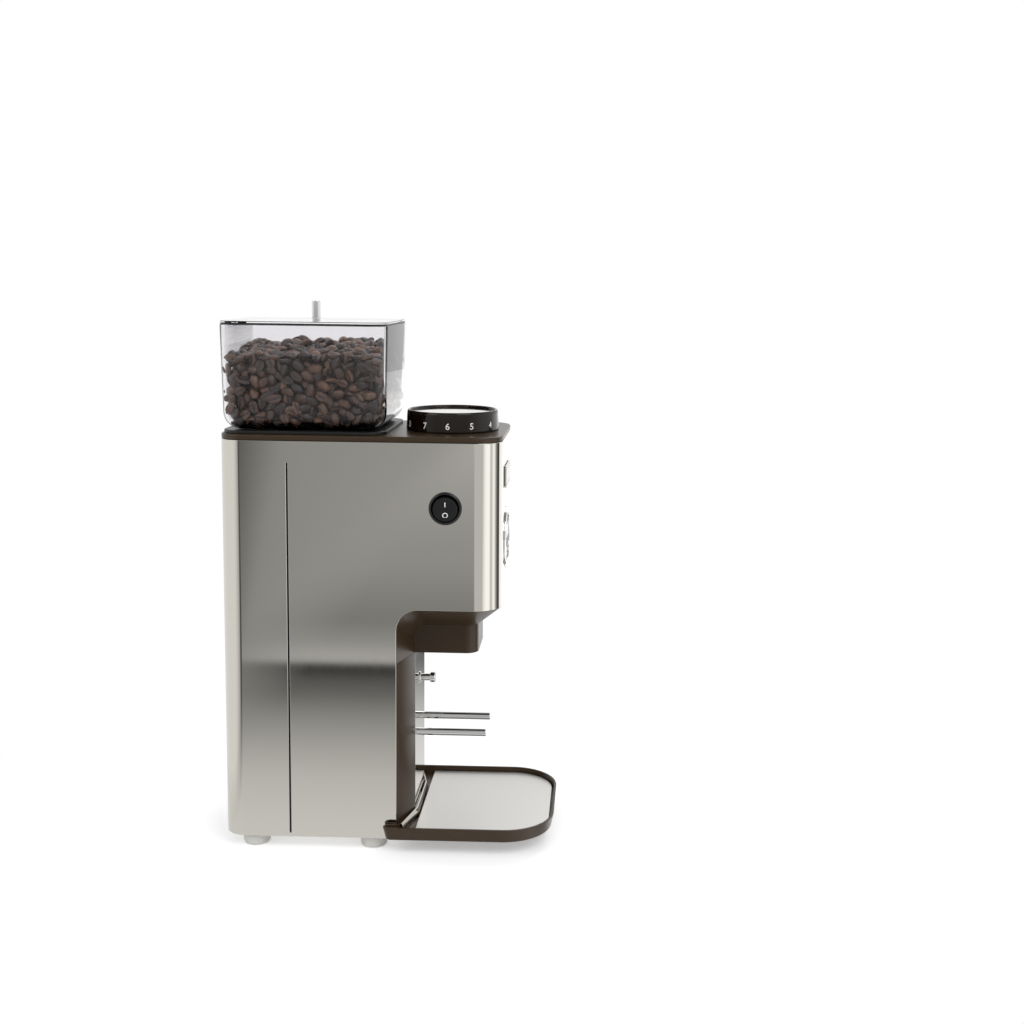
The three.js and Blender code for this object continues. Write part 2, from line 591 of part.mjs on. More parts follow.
function buildStartButton() {
  const bushBack = COLUMN_FACE + LINING_THICK + 3;
  const bush = tube('y', [0, BUTTON_Z], COLUMN_FACE - 1, bushBack, BUSH_RADIUS,
    BUTTON_SHAFT_RADIUS + 0.25);
  add('button_bush', bush, CHROME);

  const shaftBack = bushBack + BUTTON_TRAVEL;
  const shaft = rod('y', [0, BUTTON_Z], BUTTON_TIP + 1, shaftBack, BUTTON_SHAFT_RADIUS);
  const head = rod('y', [0, BUTTON_Z], BUTTON_TIP + 0.5, BUTTON_TIP + BUTTON_HEAD_LENGTH,
    BUTTON_HEAD_RADIUS);
  const crown = rod('y', [0, BUTTON_Z], BUTTON_TIP, BUTTON_TIP + 0.5,
    BUTTON_HEAD_RADIUS - 0.5, BUTTON_HEAD_RADIUS);
  const clip = rod('y', [0, BUTTON_Z], bushBack + SEAT, bushBack + SEAT + 1, BUTTON_SHAFT_RADIUS + 1.6);
  add('start_button', union(shaft, head, crown, clip), CHROME);

  const switchFront = shaftBack + BUTTON_TRAVEL + SEAT;
  const web = switchFront + 1 + MICRO_DEPTH;
  const micro = block(-MICRO_HALF_WIDTH, MICRO_HALF_WIDTH, switchFront + 1, web,
    BUTTON_Z - MICRO_HALF_HEIGHT, BUTTON_Z + MICRO_HALF_HEIGHT)
    .add(block(-3, 3, switchFront, switchFront + 1.5, BUTTON_Z - 2, BUTTON_Z + 2));
  add('start_switch', micro, BLACK_PLASTIC);

  const low = BUTTON_Z - MICRO_HALF_HEIGHT - 2;
  const high = BUTTON_Z + MICRO_HALF_HEIGHT + 2;
  const outer = MICRO_HALF_WIDTH + MICRO_MOUNT_WALL;
  const inner = MICRO_HALF_WIDTH + SEAT;
  const mount = block(-outer, -inner, BRACKET_FRONT, web + 1, low, high)
    .add(block(inner, outer, BRACKET_FRONT, web + 1, low, high))
    .add(block(-outer, outer, web + SEAT, web + 3, low, high));
  add('switch_bracket', mount, SATIN_STEEL);
}

// ---------------------------------------------------------------- drip tray
function trayOutline(inset) {
  return outline(TRAY_HALF_WIDTH, TRAY_FRONT, TRAY_EAR_BACK, TRAY_FRONT_RADIUS, 4.5, inset, 10);
}

// Space kept free for the column: its slanted faces and the casing sides behind them.
function columnClearance(gap, z0, z1) {
  const edge = BODY_HALF_WIDTH + gap;
  const ring = [
    [-COLUMN_HALF, COLUMN_FACE - gap], [COLUMN_HALF, COLUMN_FACE - gap], [edge, BAY_BACK - gap],
    [edge, BODY_BACK], [-edge, BODY_BACK], [-edge, BAY_BACK - gap],
  ].map(([x, y]) => new THREE.Vector2(x, y));
  return prism(ring, z0, z1);
}

function tongueBlocks(gap) {
  const span = (x0, x1) => block(x0 - gap, x1 + gap, COLUMN_FACE - 4, COLUMN_FACE + 8 + gap,
    BASE_TOP + 2 * SEAT - Math.min(gap, SEAT), BASE_TOP + 2 * SEAT + TONGUE_THICK + gap);
  return span(-24, -10).add(span(10, 24));
}

function buildTray() {
  const outer = stack([
    [trayOutline(TRAY_DRAFT + 1.6), TRAY_BOTTOM],
    [trayOutline(TRAY_DRAFT + 0.5), TRAY_BOTTOM + 0.6],
    [trayOutline(TRAY_DRAFT), TRAY_BOTTOM + 1.8],
    [trayOutline(0), TRAY_TOP - 0.6],
    [trayOutline(0.6), TRAY_TOP],
  ]);
  const floor = TRAY_BOTTOM + TRAY_FLOOR;
  const inner = stack([
    [trayOutline(TRAY_WALL + 1.4), floor],
    [trayOutline(TRAY_WALL - 0.4), TRAY_TOP - 0.4],
    [trayOutline(TRAY_WALL - 0.8), TRAY_TOP + 1],
  ]);
  const body = outer.subtract(inner).subtract(columnClearance(RUN, TRAY_BOTTOM - 1, TRAY_TOP + 2));
  const tongues = tongueBlocks(0).intersect(block(-40, 40, COLUMN_FACE - 3, COLUMN_FACE + 8, 0, 24));
  add('tray', body.add(tongues), BROWN_PLASTIC);

  const matBottom = floor + SEAT;
  const matBack = COLUMN_FACE - 4.5;
  const mat = stack([[trayOutline(TRAY_WALL + 1.8), matBottom],
    [trayOutline(TRAY_WALL + 1.5), matBottom + TRAY_MAT_THICK]])
    .intersect(block(-100, 100, -200, matBack, 0, 60));
  add('tray_mat', mat, SATIN_STEEL);
}

// Bent steel strip that closes the gap between the tray and the foot of the column.
function buildTrayTrim() {
  const floor = TRAY_BOTTOM + TRAY_FLOOR + SEAT;
  const gap = RUN + 0.4;
  const end = BODY_HALF_WIDTH + 1;
  const backLine = [[-end, BAY_BACK - gap - 2.6], [-COLUMN_HALF, COLUMN_FACE - gap],
    [COLUMN_HALF, COLUMN_FACE - gap], [end, BAY_BACK - gap - 2.6]];
  const ring = (front, back) => [
    ...backLine.map(([x, y]) => new THREE.Vector2(x, y - front)),
    ...backLine.toReversed().map(([x, y]) => new THREE.Vector2(x, y - back)),
  ];
  const top = floor + TRAY_TRIM_RISE;
  add('tray_trim', stack([
    [ring(TRAY_TRIM_THICK, 0), floor],
    [ring(TRAY_TRIM_THICK, 0), floor + 1],
    [ring(1.2, 0), top]]), POLISHED_STEEL);
}

// ---------------------------------------------------------------- hopper
function hopperOutline(inset) {
  return outline(HOPPER_HALF_WIDTH, HOPPER_FRONT, HOPPER_BACK, HOPPER_CORNER, HOPPER_CORNER, inset);
}

// Levels of a bowl whose floor edge is a quarter circle and whose sides lean out a little.
function bowlLevels(bottom, top, wall, radius) {
  const levels = [];
  const steps = 6;
  for (let i = 0; i <= steps; i += 1) {
    const angle = (i / steps) * (Math.PI / 2);
    const z = bottom + radius * (1 - Math.cos(angle));
    levels.push([hopperOutline(wall + HOPPER_DRAFT + radius * (1 - Math.sin(angle))), z]);
  }
  levels.push([hopperOutline(wall), top]);
  return levels;
}

function buildHopper() {
  const base = prism(hopperOutline(HOPPER_DRAFT - 0.4), HOPPER_BASE_BOTTOM, HOPPER_BOTTOM - SEAT)
    .subtract(rod('z', [0, MILL_Y], HOPPER_BASE_BOTTOM - 1, HOPPER_BOTTOM, HOPPER_NECK_RADIUS + SEAT));
  add('hopper_base', base, BLACK_PLASTIC);

  const neckBottom = HOPPER_BOTTOM - HOPPER_NECK_DEPTH;
  const bore = HOPPER_NECK_RADIUS - HOPPER_WALL;
  const outer = stack(bowlLevels(HOPPER_BOTTOM, HOPPER_TOP, 0, HOPPER_FLOOR_RADIUS))
    .add(rod('z', [0, MILL_Y], neckBottom, HOPPER_BOTTOM + 1, HOPPER_NECK_RADIUS));
  const inner = stack(bowlLevels(HOPPER_BOTTOM + HOPPER_WALL, HOPPER_TOP + 0.5, HOPPER_WALL,
    HOPPER_FLOOR_RADIUS - HOPPER_WALL))
    .add(rod('z', [0, MILL_Y], neckBottom - 1, HOPPER_BOTTOM + HOPPER_WALL + 1, bore));
  add('hopper_body', outer.subtract(inner), CLEAR_PLASTIC);

  const fillGap = HOPPER_WALL + SEAT;
  const levels = bowlLevels(HOPPER_BOTTOM + fillGap, HOPPER_TOP, fillGap, HOPPER_FLOOR_RADIUS - HOPPER_WALL);
  const fillTop = HOPPER_BOTTOM + fillGap + BEAN_DEPTH;
  const fill = stack(levels).intersect(block(-200, 200, -200, 200, HOPPER_BOTTOM, fillTop));
  add('bean_fill', fill, BEANS);
}

function buildLid() {
  const bottom = HOPPER_TOP + SEAT;
  const rim = hopperOutline(0.2);
  const plug = hopperOutline(HOPPER_WALL + 1.2);
  const plateTop = bottom + LID_THICK;
  const plate = stack([[rim, bottom], [rim, plateTop - 0.5], [hopperOutline(0.7), plateTop]])
    .add(prism(plug, bottom - 2, bottom + 1))
    .subtract(prism(hopperOutline(HOPPER_WALL + 3.2), bottom - 3, bottom));
  const centre = (HOPPER_FRONT + HOPPER_BACK) / 2;
  const hole = rod('z', [0, centre], bottom - 3, plateTop + 1, LID_PIN_RADIUS - 1.4);
  add('hopper_lid', plate.subtract(hole), CLEAR_PLASTIC);

  const pinTop = plateTop + SEAT + LID_PIN_HEIGHT;
  const pin = union(
    rod('z', [0, centre], plateTop + SEAT, pinTop - 0.6, LID_PIN_RADIUS),
    rod('z', [0, centre], pinTop - 0.6, pinTop, LID_PIN_RADIUS, LID_PIN_RADIUS - 0.6),
    rod('z', [0, centre], bottom - 4, plateTop + 1, LID_PIN_RADIUS - 1.4 - SEAT));
  add('lid_knob', pin, CHROME);
  const nut = rod('z', [0, centre], bottom - 3.2, bottom - SEAT, 3.6, 3.6, 6)
    .subtract(rod('z', [0, centre], bottom - 5, bottom, LID_PIN_RADIUS - 1.4 - SEAT + 0.1));
  add('lid_nut', nut, CHROME);
}

// ---------------------------------------------------------------- grind dial
function buildDial() {
  const floor = DIAL_TOP - DIAL_RECESS - DIAL_DISC_THICK - SEAT;
  const profile = [
    [0, DIAL_BOTTOM + 3], [DIAL_RADIUS - DIAL_WALL, DIAL_BOTTOM + 3], [DIAL_RADIUS - DIAL_WALL, DIAL_BOTTOM],
    [DIAL_RADIUS - 0.4, DIAL_BOTTOM], [DIAL_RADIUS, DIAL_BOTTOM + 0.5], [DIAL_RADIUS - 0.6, DIAL_TOP - 1.4],
    [DIAL_RADIUS - 1, DIAL_TOP - 0.4], [DIAL_RADIUS - 1.8, DIAL_TOP], [DIAL_RADIUS - 2.4, DIAL_TOP - 0.3],
    [DIAL_RADIUS - DIAL_WALL, DIAL_TOP - 1.2], [DIAL_RADIUS - DIAL_WALL, floor], [0, floor],
  ].map(([r, z]) => new THREE.Vector2(r, z));
  const geometry = new THREE.LatheGeometry(profile, 48);
  geometry.rotateX(Math.PI / 2);
  geometry.translate(0, DIAL_Y, 0);
  const socket = rod('z', [0, DIAL_Y], DIAL_BOTTOM, floor - 2, SPINDLE_RADIUS + SEAT);
  add('grind_dial', solid(geometry).subtract(socket), BROWN_PLASTIC);
  add('dial_disc', rod('z', [0, DIAL_Y], floor + SEAT, floor + SEAT + DIAL_DISC_THICK,
    DIAL_RADIUS - DIAL_WALL - SEAT, DIAL_RADIUS - DIAL_WALL - SEAT, 48), POLISHED_STEEL);

  const spindle = rod('z', [0, DIAL_Y], YOKE_Z - 14, floor - 2 - SEAT, SPINDLE_RADIUS)
    .add(rod('z', [0, DIAL_Y], COVER_BOTTOM - 4, COVER_BOTTOM - SEAT, SPINDLE_RADIUS + 4));
  add('dial_spindle', spindle, TOOL_STEEL);
}

// ---------------------------------------------------------------- mill
// Flat grinding ring with radial teeth cut into the face that meets its partner.
function burr(bottom, toothed) {
  let ring = tube('z', [0, MILL_Y], bottom, bottom + BURR_THICK, BURR_RADIUS, BURR_BORE, 24);
  for (let i = 0; i < BURR_TEETH; i += 1) {
    const groove = new THREE.BoxGeometry(BURR_RADIUS, 2.2, 2.4);
    groove.rotateX(Math.PI / 5);
    groove.translate(BURR_RADIUS * 0.75, 0, 0);
    groove.rotateZ((i / BURR_TEETH) * 2 * Math.PI + 0.13);
    groove.translate(0, MILL_Y, toothed);
    ring = ring.subtract(solid(groove));
  }
  return ring;
}

function buildMill() {
  const chamberFloor = CHAMBER_BOTTOM + CHAMBER_FLOOR;
  const wallTop = BURR_HIGH_TOP - 2;
  const cup = rod('z', [0, MILL_Y], CHAMBER_BOTTOM, wallTop, CHAMBER_RADIUS, CHAMBER_RADIUS, 28)
    .subtract(rod('z', [0, MILL_Y], chamberFloor, wallTop + 1, CHAMBER_RADIUS - CHAMBER_WALL,
      CHAMBER_RADIUS - CHAMBER_WALL, 28))
    .subtract(rod('z', [0, MILL_Y], CHAMBER_BOTTOM - 1, chamberFloor + 1, SHAFT_RADIUS + RUN))
    .subtract(rod('z', [0, MILL_Y], CHAMBER_BOTTOM - 1, CHAMBER_BOTTOM + BEARING_WIDTH + SEAT,
      BEARING_RADIUS + SEAT));
  const port = block(-DUCT_HALF, DUCT_HALF, MILL_Y - CHAMBER_RADIUS - 5, MILL_Y - CHAMBER_RADIUS + 12,
    chamberFloor + 1, chamberFloor + 1 + DUCT_HEIGHT);
  add('burr_chamber', cup.subtract(port), CAST_ALUMINIUM);

  const hubBottom = BURR_LOW_BOTTOM - SEAT - HUB_THICK;
  let hub = rod('z', [0, MILL_Y], hubBottom, BURR_LOW_BOTTOM - SEAT, BURR_RADIUS + 2, BURR_RADIUS + 2, 24)
    .add(rod('z', [0, MILL_Y], BURR_LOW_BOTTOM - SEAT - 1, BURR_LOW_TOP - 1, BURR_BORE - SEAT,
      BURR_BORE - 6, 24));
  for (let i = 0; i < HUB_PADDLES; i += 1) {
    const paddle = new THREE.BoxGeometry(8, 4, HUB_THICK - 1);
    paddle.translate(BURR_RADIUS + 4, 0, hubBottom + (HUB_THICK - 1) / 2);
    paddle.rotateZ((i / HUB_PADDLES) * 2 * Math.PI);
    paddle.translate(0, MILL_Y, 0);
    hub = hub.add(solid(paddle));
  }
  const hubBore = rod('z', [0, MILL_Y], hubBottom - 1, BURR_LOW_TOP, SHAFT_RADIUS + SEAT);
  add('burr_hub', hub.subtract(hubBore), TOOL_STEEL);
  add('lower_burr', burr(BURR_LOW_BOTTOM, BURR_LOW_TOP), TOOL_STEEL);
  add('upper_burr', burr(BURR_HIGH_BOTTOM, BURR_HIGH_BOTTOM), TOOL_STEEL);

  const carrier = tube('z', [0, MILL_Y], CARRIER_BOTTOM, CARRIER_TOP, BURR_RADIUS + 7, BURR_BORE, 24);
  const arm = block(-ARM_HALF_WIDTH, ARM_HALF_WIDTH, DIAL_Y - 12, MILL_Y - BURR_RADIUS, YOKE_Z, CARRIER_TOP)
    .add(rod('z', [0, DIAL_Y], YOKE_Z - 6, CARRIER_TOP, SPINDLE_RADIUS + 7))
    .subtract(rod('z', [0, DIAL_Y], YOKE_Z - 8, CARRIER_TOP + 1, SPINDLE_RADIUS + RUN));
  add('burr_yoke', carrier.add(arm), CAST_ALUMINIUM);
}

// Sloping channel from the chamber's port down to the spout.
function buildDuct() {
  const chamberFloor = CHAMBER_BOTTOM + CHAMBER_FLOOR;
  const start = MILL_Y - CHAMBER_RADIUS - SEAT;
  const low = SPOUT_TOP + SEAT;
  const high = chamberFloor + 1;
  const slab = (grow, x) => {
    const shape = new THREE.Shape();
    shape.moveTo(start, high - grow);
    shape.lineTo(start, high + DUCT_HEIGHT + grow);
    shape.lineTo(SPOUT_Y - DUCT_HALF + 2 - grow, low + 26 + grow);
    shape.lineTo(SPOUT_Y - DUCT_HALF + 2 - grow, low);
    shape.lineTo(SPOUT_Y + DUCT_HALF - 2 + grow, low);
    shape.lineTo(SPOUT_Y + DUCT_HALF - 2 + grow, low + 14 - grow);
    shape.closePath();
    const geometry = new THREE.ExtrudeGeometry(shape, { depth: 2 * x, bevelEnabled: false });
    geometry.rotateX(Math.PI / 2);
    geometry.rotateZ(Math.PI / 2);
    geometry.translate(-x, 0, 0);
    return solid(geometry);
  };
  const ends = block(-DUCT_HALF + 2, DUCT_HALF - 2, start - 3, start + 3, high, high + DUCT_HEIGHT)
    .add(block(-DUCT_HALF + 4, DUCT_HALF - 4, SPOUT_Y - DUCT_HALF + 4, SPOUT_Y + DUCT_HALF - 4,
      low - 3, low + 3));
  const duct = slab(DUCT_WALL, DUCT_HALF).subtract(slab(0, DUCT_HALF - DUCT_WALL)).subtract(ends);
  add('grounds_duct', duct, BLACK_PLASTIC);
}

// ---------------------------------------------------------------- motor
function buildMotor() {
  const deckFront = MILL_Y - MOTOR_RADIUS - 8;
  const deckRing = outline(BODY_HALF_WIDTH, deckFront, BODY_BACK, 2, BODY_BACK_RADIUS, SHEET + SEAT);
  const stripGap = SEAM_STRIP_THICK + 2 * SEAT;
  const notch = (side) => block(side < 0 ? -BODY_HALF_WIDTH - 1 : BODY_HALF_WIDTH - SHEET - stripGap,
    side < 0 ? -BODY_HALF_WIDTH + SHEET + stripGap : BODY_HALF_WIDTH + 1,
    SEAM_Y - SEAM_STRIP_WIDTH / 2 - SEAT, SEAM_Y + SEAM_STRIP_WIDTH / 2 + SEAT,
    DECK_Z - 1, DECK_Z + DECK_THICK + 1);
  const deck = prism(deckRing, DECK_Z, DECK_Z + DECK_THICK)
    .subtract(rod('z', [0, MILL_Y], DECK_Z - 1, DECK_Z + DECK_THICK + 1, BEARING_RADIUS + 2))
    .subtract(notch(-1)).subtract(notch(1));
  add('motor_deck', deck, SATIN_STEEL);

  const top = DECK_Z - SEAT;
  const bottom = top - MOTOR_LENGTH;
  const seat = bottom + MOTOR_END;
  const inside = MOTOR_RADIUS - MOTOR_WALL;
  const can = rod('z', [0, MILL_Y], bottom, top, MOTOR_RADIUS, MOTOR_RADIUS, 28)
    .subtract(rod('z', [0, MILL_Y], seat, top + 1, inside, inside, 28))
    .add(tube('z', [0, MILL_Y], seat - 1, seat + BEARING_WIDTH, BEARING_RADIUS + 3, BEARING_RADIUS + SEAT))
    .subtract(rod('z', [0, MILL_Y], seat, seat + BEARING_WIDTH + 2, BEARING_RADIUS + SEAT));
  add('motor_can', can, CAST_ALUMINIUM);
  const stator = tube('z', [0, MILL_Y], bottom + 18, top - 14, inside - SEAT, ROTOR_RADIUS + 1, 28);
  add('motor_stator', stator, MOTOR_LAMINATE);

  const shaftTop = BURR_LOW_TOP - 2;
  add('motor_shaft', rod('z', [0, MILL_Y], seat + SEAT, shaftTop, SHAFT_RADIUS), TOOL_STEEL);
  const rotor = tube('z', [0, MILL_Y], bottom + 20, top - 16, ROTOR_RADIUS, SHAFT_RADIUS + SEAT, 24);
  add('motor_rotor', rotor, MOTOR_LAMINATE);
  const bearing = (low, high) => tube('z', [0, MILL_Y], low, high, BEARING_RADIUS, SHAFT_RADIUS + 0.1);
  add('bearing_lower', bearing(seat + SEAT, seat + SEAT + BEARING_WIDTH - 1), CHROME);
  add('bearing_upper', bearing(CHAMBER_BOTTOM, CHAMBER_BOTTOM + BEARING_WIDTH), CHROME);
}

function buildElectrics() {
  const capacitor = rod('z', [CAPACITOR_X, CAPACITOR_Y], BASE_TOP + SEAT, BASE_TOP + CAPACITOR_LENGTH,
    CAPACITOR_RADIUS);
  add('capacitor', capacitor, BLACK_PLASTIC);
  const boardFront = BODY_FRONT + BOARD_SETBACK;
  const board = block(-BOARD_HALF_WIDTH, BOARD_HALF_WIDTH, boardFront, boardFront + BOARD_THICK,
    DISPLAY_Z - 28, DISPLAY_Z + 30);
  add('control_board', board, BOARD_GREEN);

  const nutBack = BODY_BACK - SHEET - SEAT;
  const gland = union(
    rod('y', [GLAND_X, GLAND_Z], nutBack - 7, BODY_BACK, GLAND_RADIUS),
    rod('y', [GLAND_X, GLAND_Z], nutBack - 5, nutBack, GLAND_RADIUS + 3, GLAND_RADIUS + 3, 6));
  const eye = rod('y', [GLAND_X, GLAND_Z], nutBack - 10, BODY_BACK + 2, GLAND_BORE);
  add('cable_gland', gland.subtract(eye), BLACK_PLASTIC);
}

// ---------------------------------------------------------------- switch, display and badge
function buildSwitch() {
  const face = -BODY_HALF_WIDTH;
  const opening = SWITCH_RADIUS + 0.5;
  const ring = tube('x', [SWITCH_Y, SWITCH_Z], face - 1.6, face - SEAT, SWITCH_BEZEL_RADIUS, opening, 28);
  const sleeve = tube('x', [SWITCH_Y, SWITCH_Z], face - 1, face + 14, opening + 0.5, opening, 28);
  const back = rod('x', [SWITCH_Y, SWITCH_Z], face + 12, face + 15, opening + 0.5, opening + 0.5, 28);
  add('switch_housing', union(ring, sleeve, back), BLACK_PLASTIC);

  const pivot = face + 5;
  const cap = rod('x', [0, 0], -7, 2, SWITCH_RADIUS - 0.5, SWITCH_RADIUS - 0.3, 28);
  const dish = rod('y', [-57, 0], -20, 20, 50.6, 50.6, 64);
  const rocker = cap.subtract(dish)
    .subtract(block(-1, 3, -20, 20, 5, 20)).subtract(block(-1, 3, -20, 20, -20, -5));
  const mesh = add('switch_rocker', rocker, BLACK_PLASTIC);
  mesh.rotation.y = -SWITCH_TILT;
  mesh.position.set(pivot, SWITCH_Y, SWITCH_Z);
}

function buildDisplay() {
  const face = BODY_FRONT;
  const sleeveOuter = DISPLAY_RADIUS - 2.2 - SEAT;
  const sleeveInner = sleeveOuter - 1.6;
  const bezel = tube('y', [0, DISPLAY_Z], face - 1.6, face - SEAT, DISPLAY_RADIUS, sleeveInner, 32)
    .add(tube('y', [0, DISPLAY_Z], face - 1, face + BOARD_SETBACK - SEAT, sleeveOuter, sleeveInner, 32));
  add('display_bezel', bezel, CHROME);

  const buttons = [['minus_button', -DISPLAY_BUTTON_X], ['plus_button', DISPLAY_BUTTON_X]];
  const buttonZ = DISPLAY_Z - DISPLAY_BUTTON_DROP;
  let plate = rod('y', [0, DISPLAY_Z], face - 0.8, face + 3, sleeveInner - SEAT, sleeveInner - SEAT, 32);
  for (const [, x] of buttons) {
    plate = plate.subtract(rod('y', [x, buttonZ], face - 3, face + 6, DISPLAY_BUTTON_RADIUS + 0.4));
  }
  const windowZ = DISPLAY_Z + SCREEN_RISE;
  plate = plate.subtract(block(-SCREEN_HALF_WIDTH, SCREEN_HALF_WIDTH, face - 3, face + 1.4,
    windowZ - SCREEN_HALF_HEIGHT, windowZ + SCREEN_HALF_HEIGHT));
  add('display_face', plate, BLACK_PLASTIC);
  const screen = block(-SCREEN_HALF_WIDTH + SEAT, SCREEN_HALF_WIDTH - SEAT, face - 0.6, face + 1.4 - SEAT,
    windowZ - SCREEN_HALF_HEIGHT + SEAT, windowZ + SCREEN_HALF_HEIGHT - SEAT);
  add('display_screen', screen, SCREEN_GLASS);
  for (const [name, x] of buttons) {
    const key = rod('y', [x, buttonZ], face - 1.4, face + 4.6, DISPLAY_BUTTON_RADIUS)
      .add(rod('y', [x, buttonZ], face + 3.4, face + 4.6, DISPLAY_BUTTON_RADIUS + 1.2));
    add(name, key, CHROME);
  }

  const badge = block(-BADGE_HALF_WIDTH, BADGE_HALF_WIDTH, face - SEAT - BADGE_THICK, face - SEAT,
    BADGE_Z - BADGE_HALF_HEIGHT, BADGE_Z + BADGE_HALF_HEIGHT);
  add('badge_plate', badge, SATIN_STEEL);
}

buildShell();
buildSeamStrips();
buildBase();
buildFeet();
buildCover();
buildColumn();
buildChuteHousing();
buildFork();
buildStartButton();
buildTray();
buildTrayTrim();
buildHopper();
buildLid();
buildDial();
buildMill();
buildDuct();
buildMotor();
buildElectrics();
buildSwitch();
buildDisplay();

export default machine;
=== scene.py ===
"""Burr coffee grinder: finished surfaces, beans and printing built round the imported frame."""

import json
import math
import random

import bmesh
import bpy
from mathutils import Matrix, Vector, noise


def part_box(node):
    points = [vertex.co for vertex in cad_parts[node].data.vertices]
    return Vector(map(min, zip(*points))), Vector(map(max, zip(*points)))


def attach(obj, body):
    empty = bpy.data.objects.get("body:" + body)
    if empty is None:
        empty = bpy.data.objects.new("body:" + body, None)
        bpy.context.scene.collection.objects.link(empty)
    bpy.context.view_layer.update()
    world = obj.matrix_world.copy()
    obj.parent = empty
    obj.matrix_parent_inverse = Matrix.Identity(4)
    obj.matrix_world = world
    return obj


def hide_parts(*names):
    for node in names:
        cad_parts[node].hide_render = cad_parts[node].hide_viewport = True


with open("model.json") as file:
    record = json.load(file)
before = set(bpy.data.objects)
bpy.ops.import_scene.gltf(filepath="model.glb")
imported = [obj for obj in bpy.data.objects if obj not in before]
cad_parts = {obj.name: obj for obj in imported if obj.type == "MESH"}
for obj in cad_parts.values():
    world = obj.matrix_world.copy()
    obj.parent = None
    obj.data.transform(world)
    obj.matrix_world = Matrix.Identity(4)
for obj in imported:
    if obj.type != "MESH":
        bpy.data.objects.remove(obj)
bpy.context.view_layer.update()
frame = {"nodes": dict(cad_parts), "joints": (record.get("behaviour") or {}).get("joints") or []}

bl_info = {
    "name": "Burr Coffee Grinder",
    "version": (1, 0, 0),
    "blender": (4, 5, 0),
    "location": "View3D > Sidebar > Grinder",
    "description": "Builds a steel-cased burr coffee grinder with its hopper, dial, fork and tray",
    "category": "Add Mesh",
}

MM = 0.001
UP = Vector((0, 0, 1))
ALONG_X = Vector((1, 0, 0))
ALONG_Y = Vector((0, 1, 0))
SMOOTH_ANGLE = math.radians(32)
CORNER_STEPS = 14
WELD = 0.001 * MM

# Radii of the holes for what passes through the casing, the chute and the display
SWITCH_HOLE = 11.4 * MM
DISPLAY_HOLE = 23.2 * MM
GLAND_HOLE = 8.3 * MM
SPOUT_HOLE = 12.3 * MM
KEY_HOLE = 4.6 * MM

# The heap of beans: how far from the walls and the top it is made, and the share of beans whose
# crease faces up at the top of the heap and inwards at the walls
BEAN_SEED = 11
BEAN_TRIES = 90000
HEAP_DEPTH = 13 * MM
CREASE_SHARE = 0.55

# The dial: its figures, and how much thicker its bright disc is than the CAD's
FIGURE_COUNT = 12
FIGURE_SHOWN = 6
FIGURE_HEIGHT = 5.2 * MM
DISC_RISE = 1.1 * MM

# The studio: floor, camera and lamps (place, aim, size, watts)
FLOOR_HALF = 6
FLOOR_REACH = 3.0
CAMERA_PLACE = (-1.0691, -0.1654, 0.4549)
CAMERA_HEADING = math.radians(-1.486)
CAMERA_DIP = math.radians(6.419)
CAMERA_ROLL = math.radians(0.711)
CAMERA_LENS = 46.33
CAMERA_SHIFT = (-0.0526, -0.08)
LAMPS = {
    "key": ((-1.6, -1.4, 2.2), (0, 0, 0.2), 1.6, 26),
    "fill": ((-1.2, 1.6, 1.4), (0, 0, 0.2), 1.4, 9),
    "rim": ((1.6, -0.6, 1.8), (0, 0, 0.25), 1.2, 12),
}


# ---------------------------------------------------------------- colour and node helpers
def linear(code):
    """An sRGB hex colour as a linear RGBA tuple."""
    parts = [int(code[i:i + 2], 16) / 255 for i in (1, 3, 5)]
    return tuple(c / 12.92 if c <= 0.04045 else ((c + 0.055) / 1.055) ** 2.4 for c in parts) + (1.0,)


def colour_property(name, description, code):
    """A colour picker whose default is an sRGB hex colour."""
    return bpy.props.FloatVectorProperty(
        name=name, description=description, default=linear(code), size=4, subtype="COLOR", min=0, max=1)


def length_property(name, description, millimetres):
    """A length in metres, given here in millimetres."""
    return bpy.props.FloatProperty(
        name=name, description=description, default=millimetres * MM, unit="LENGTH", min=0)


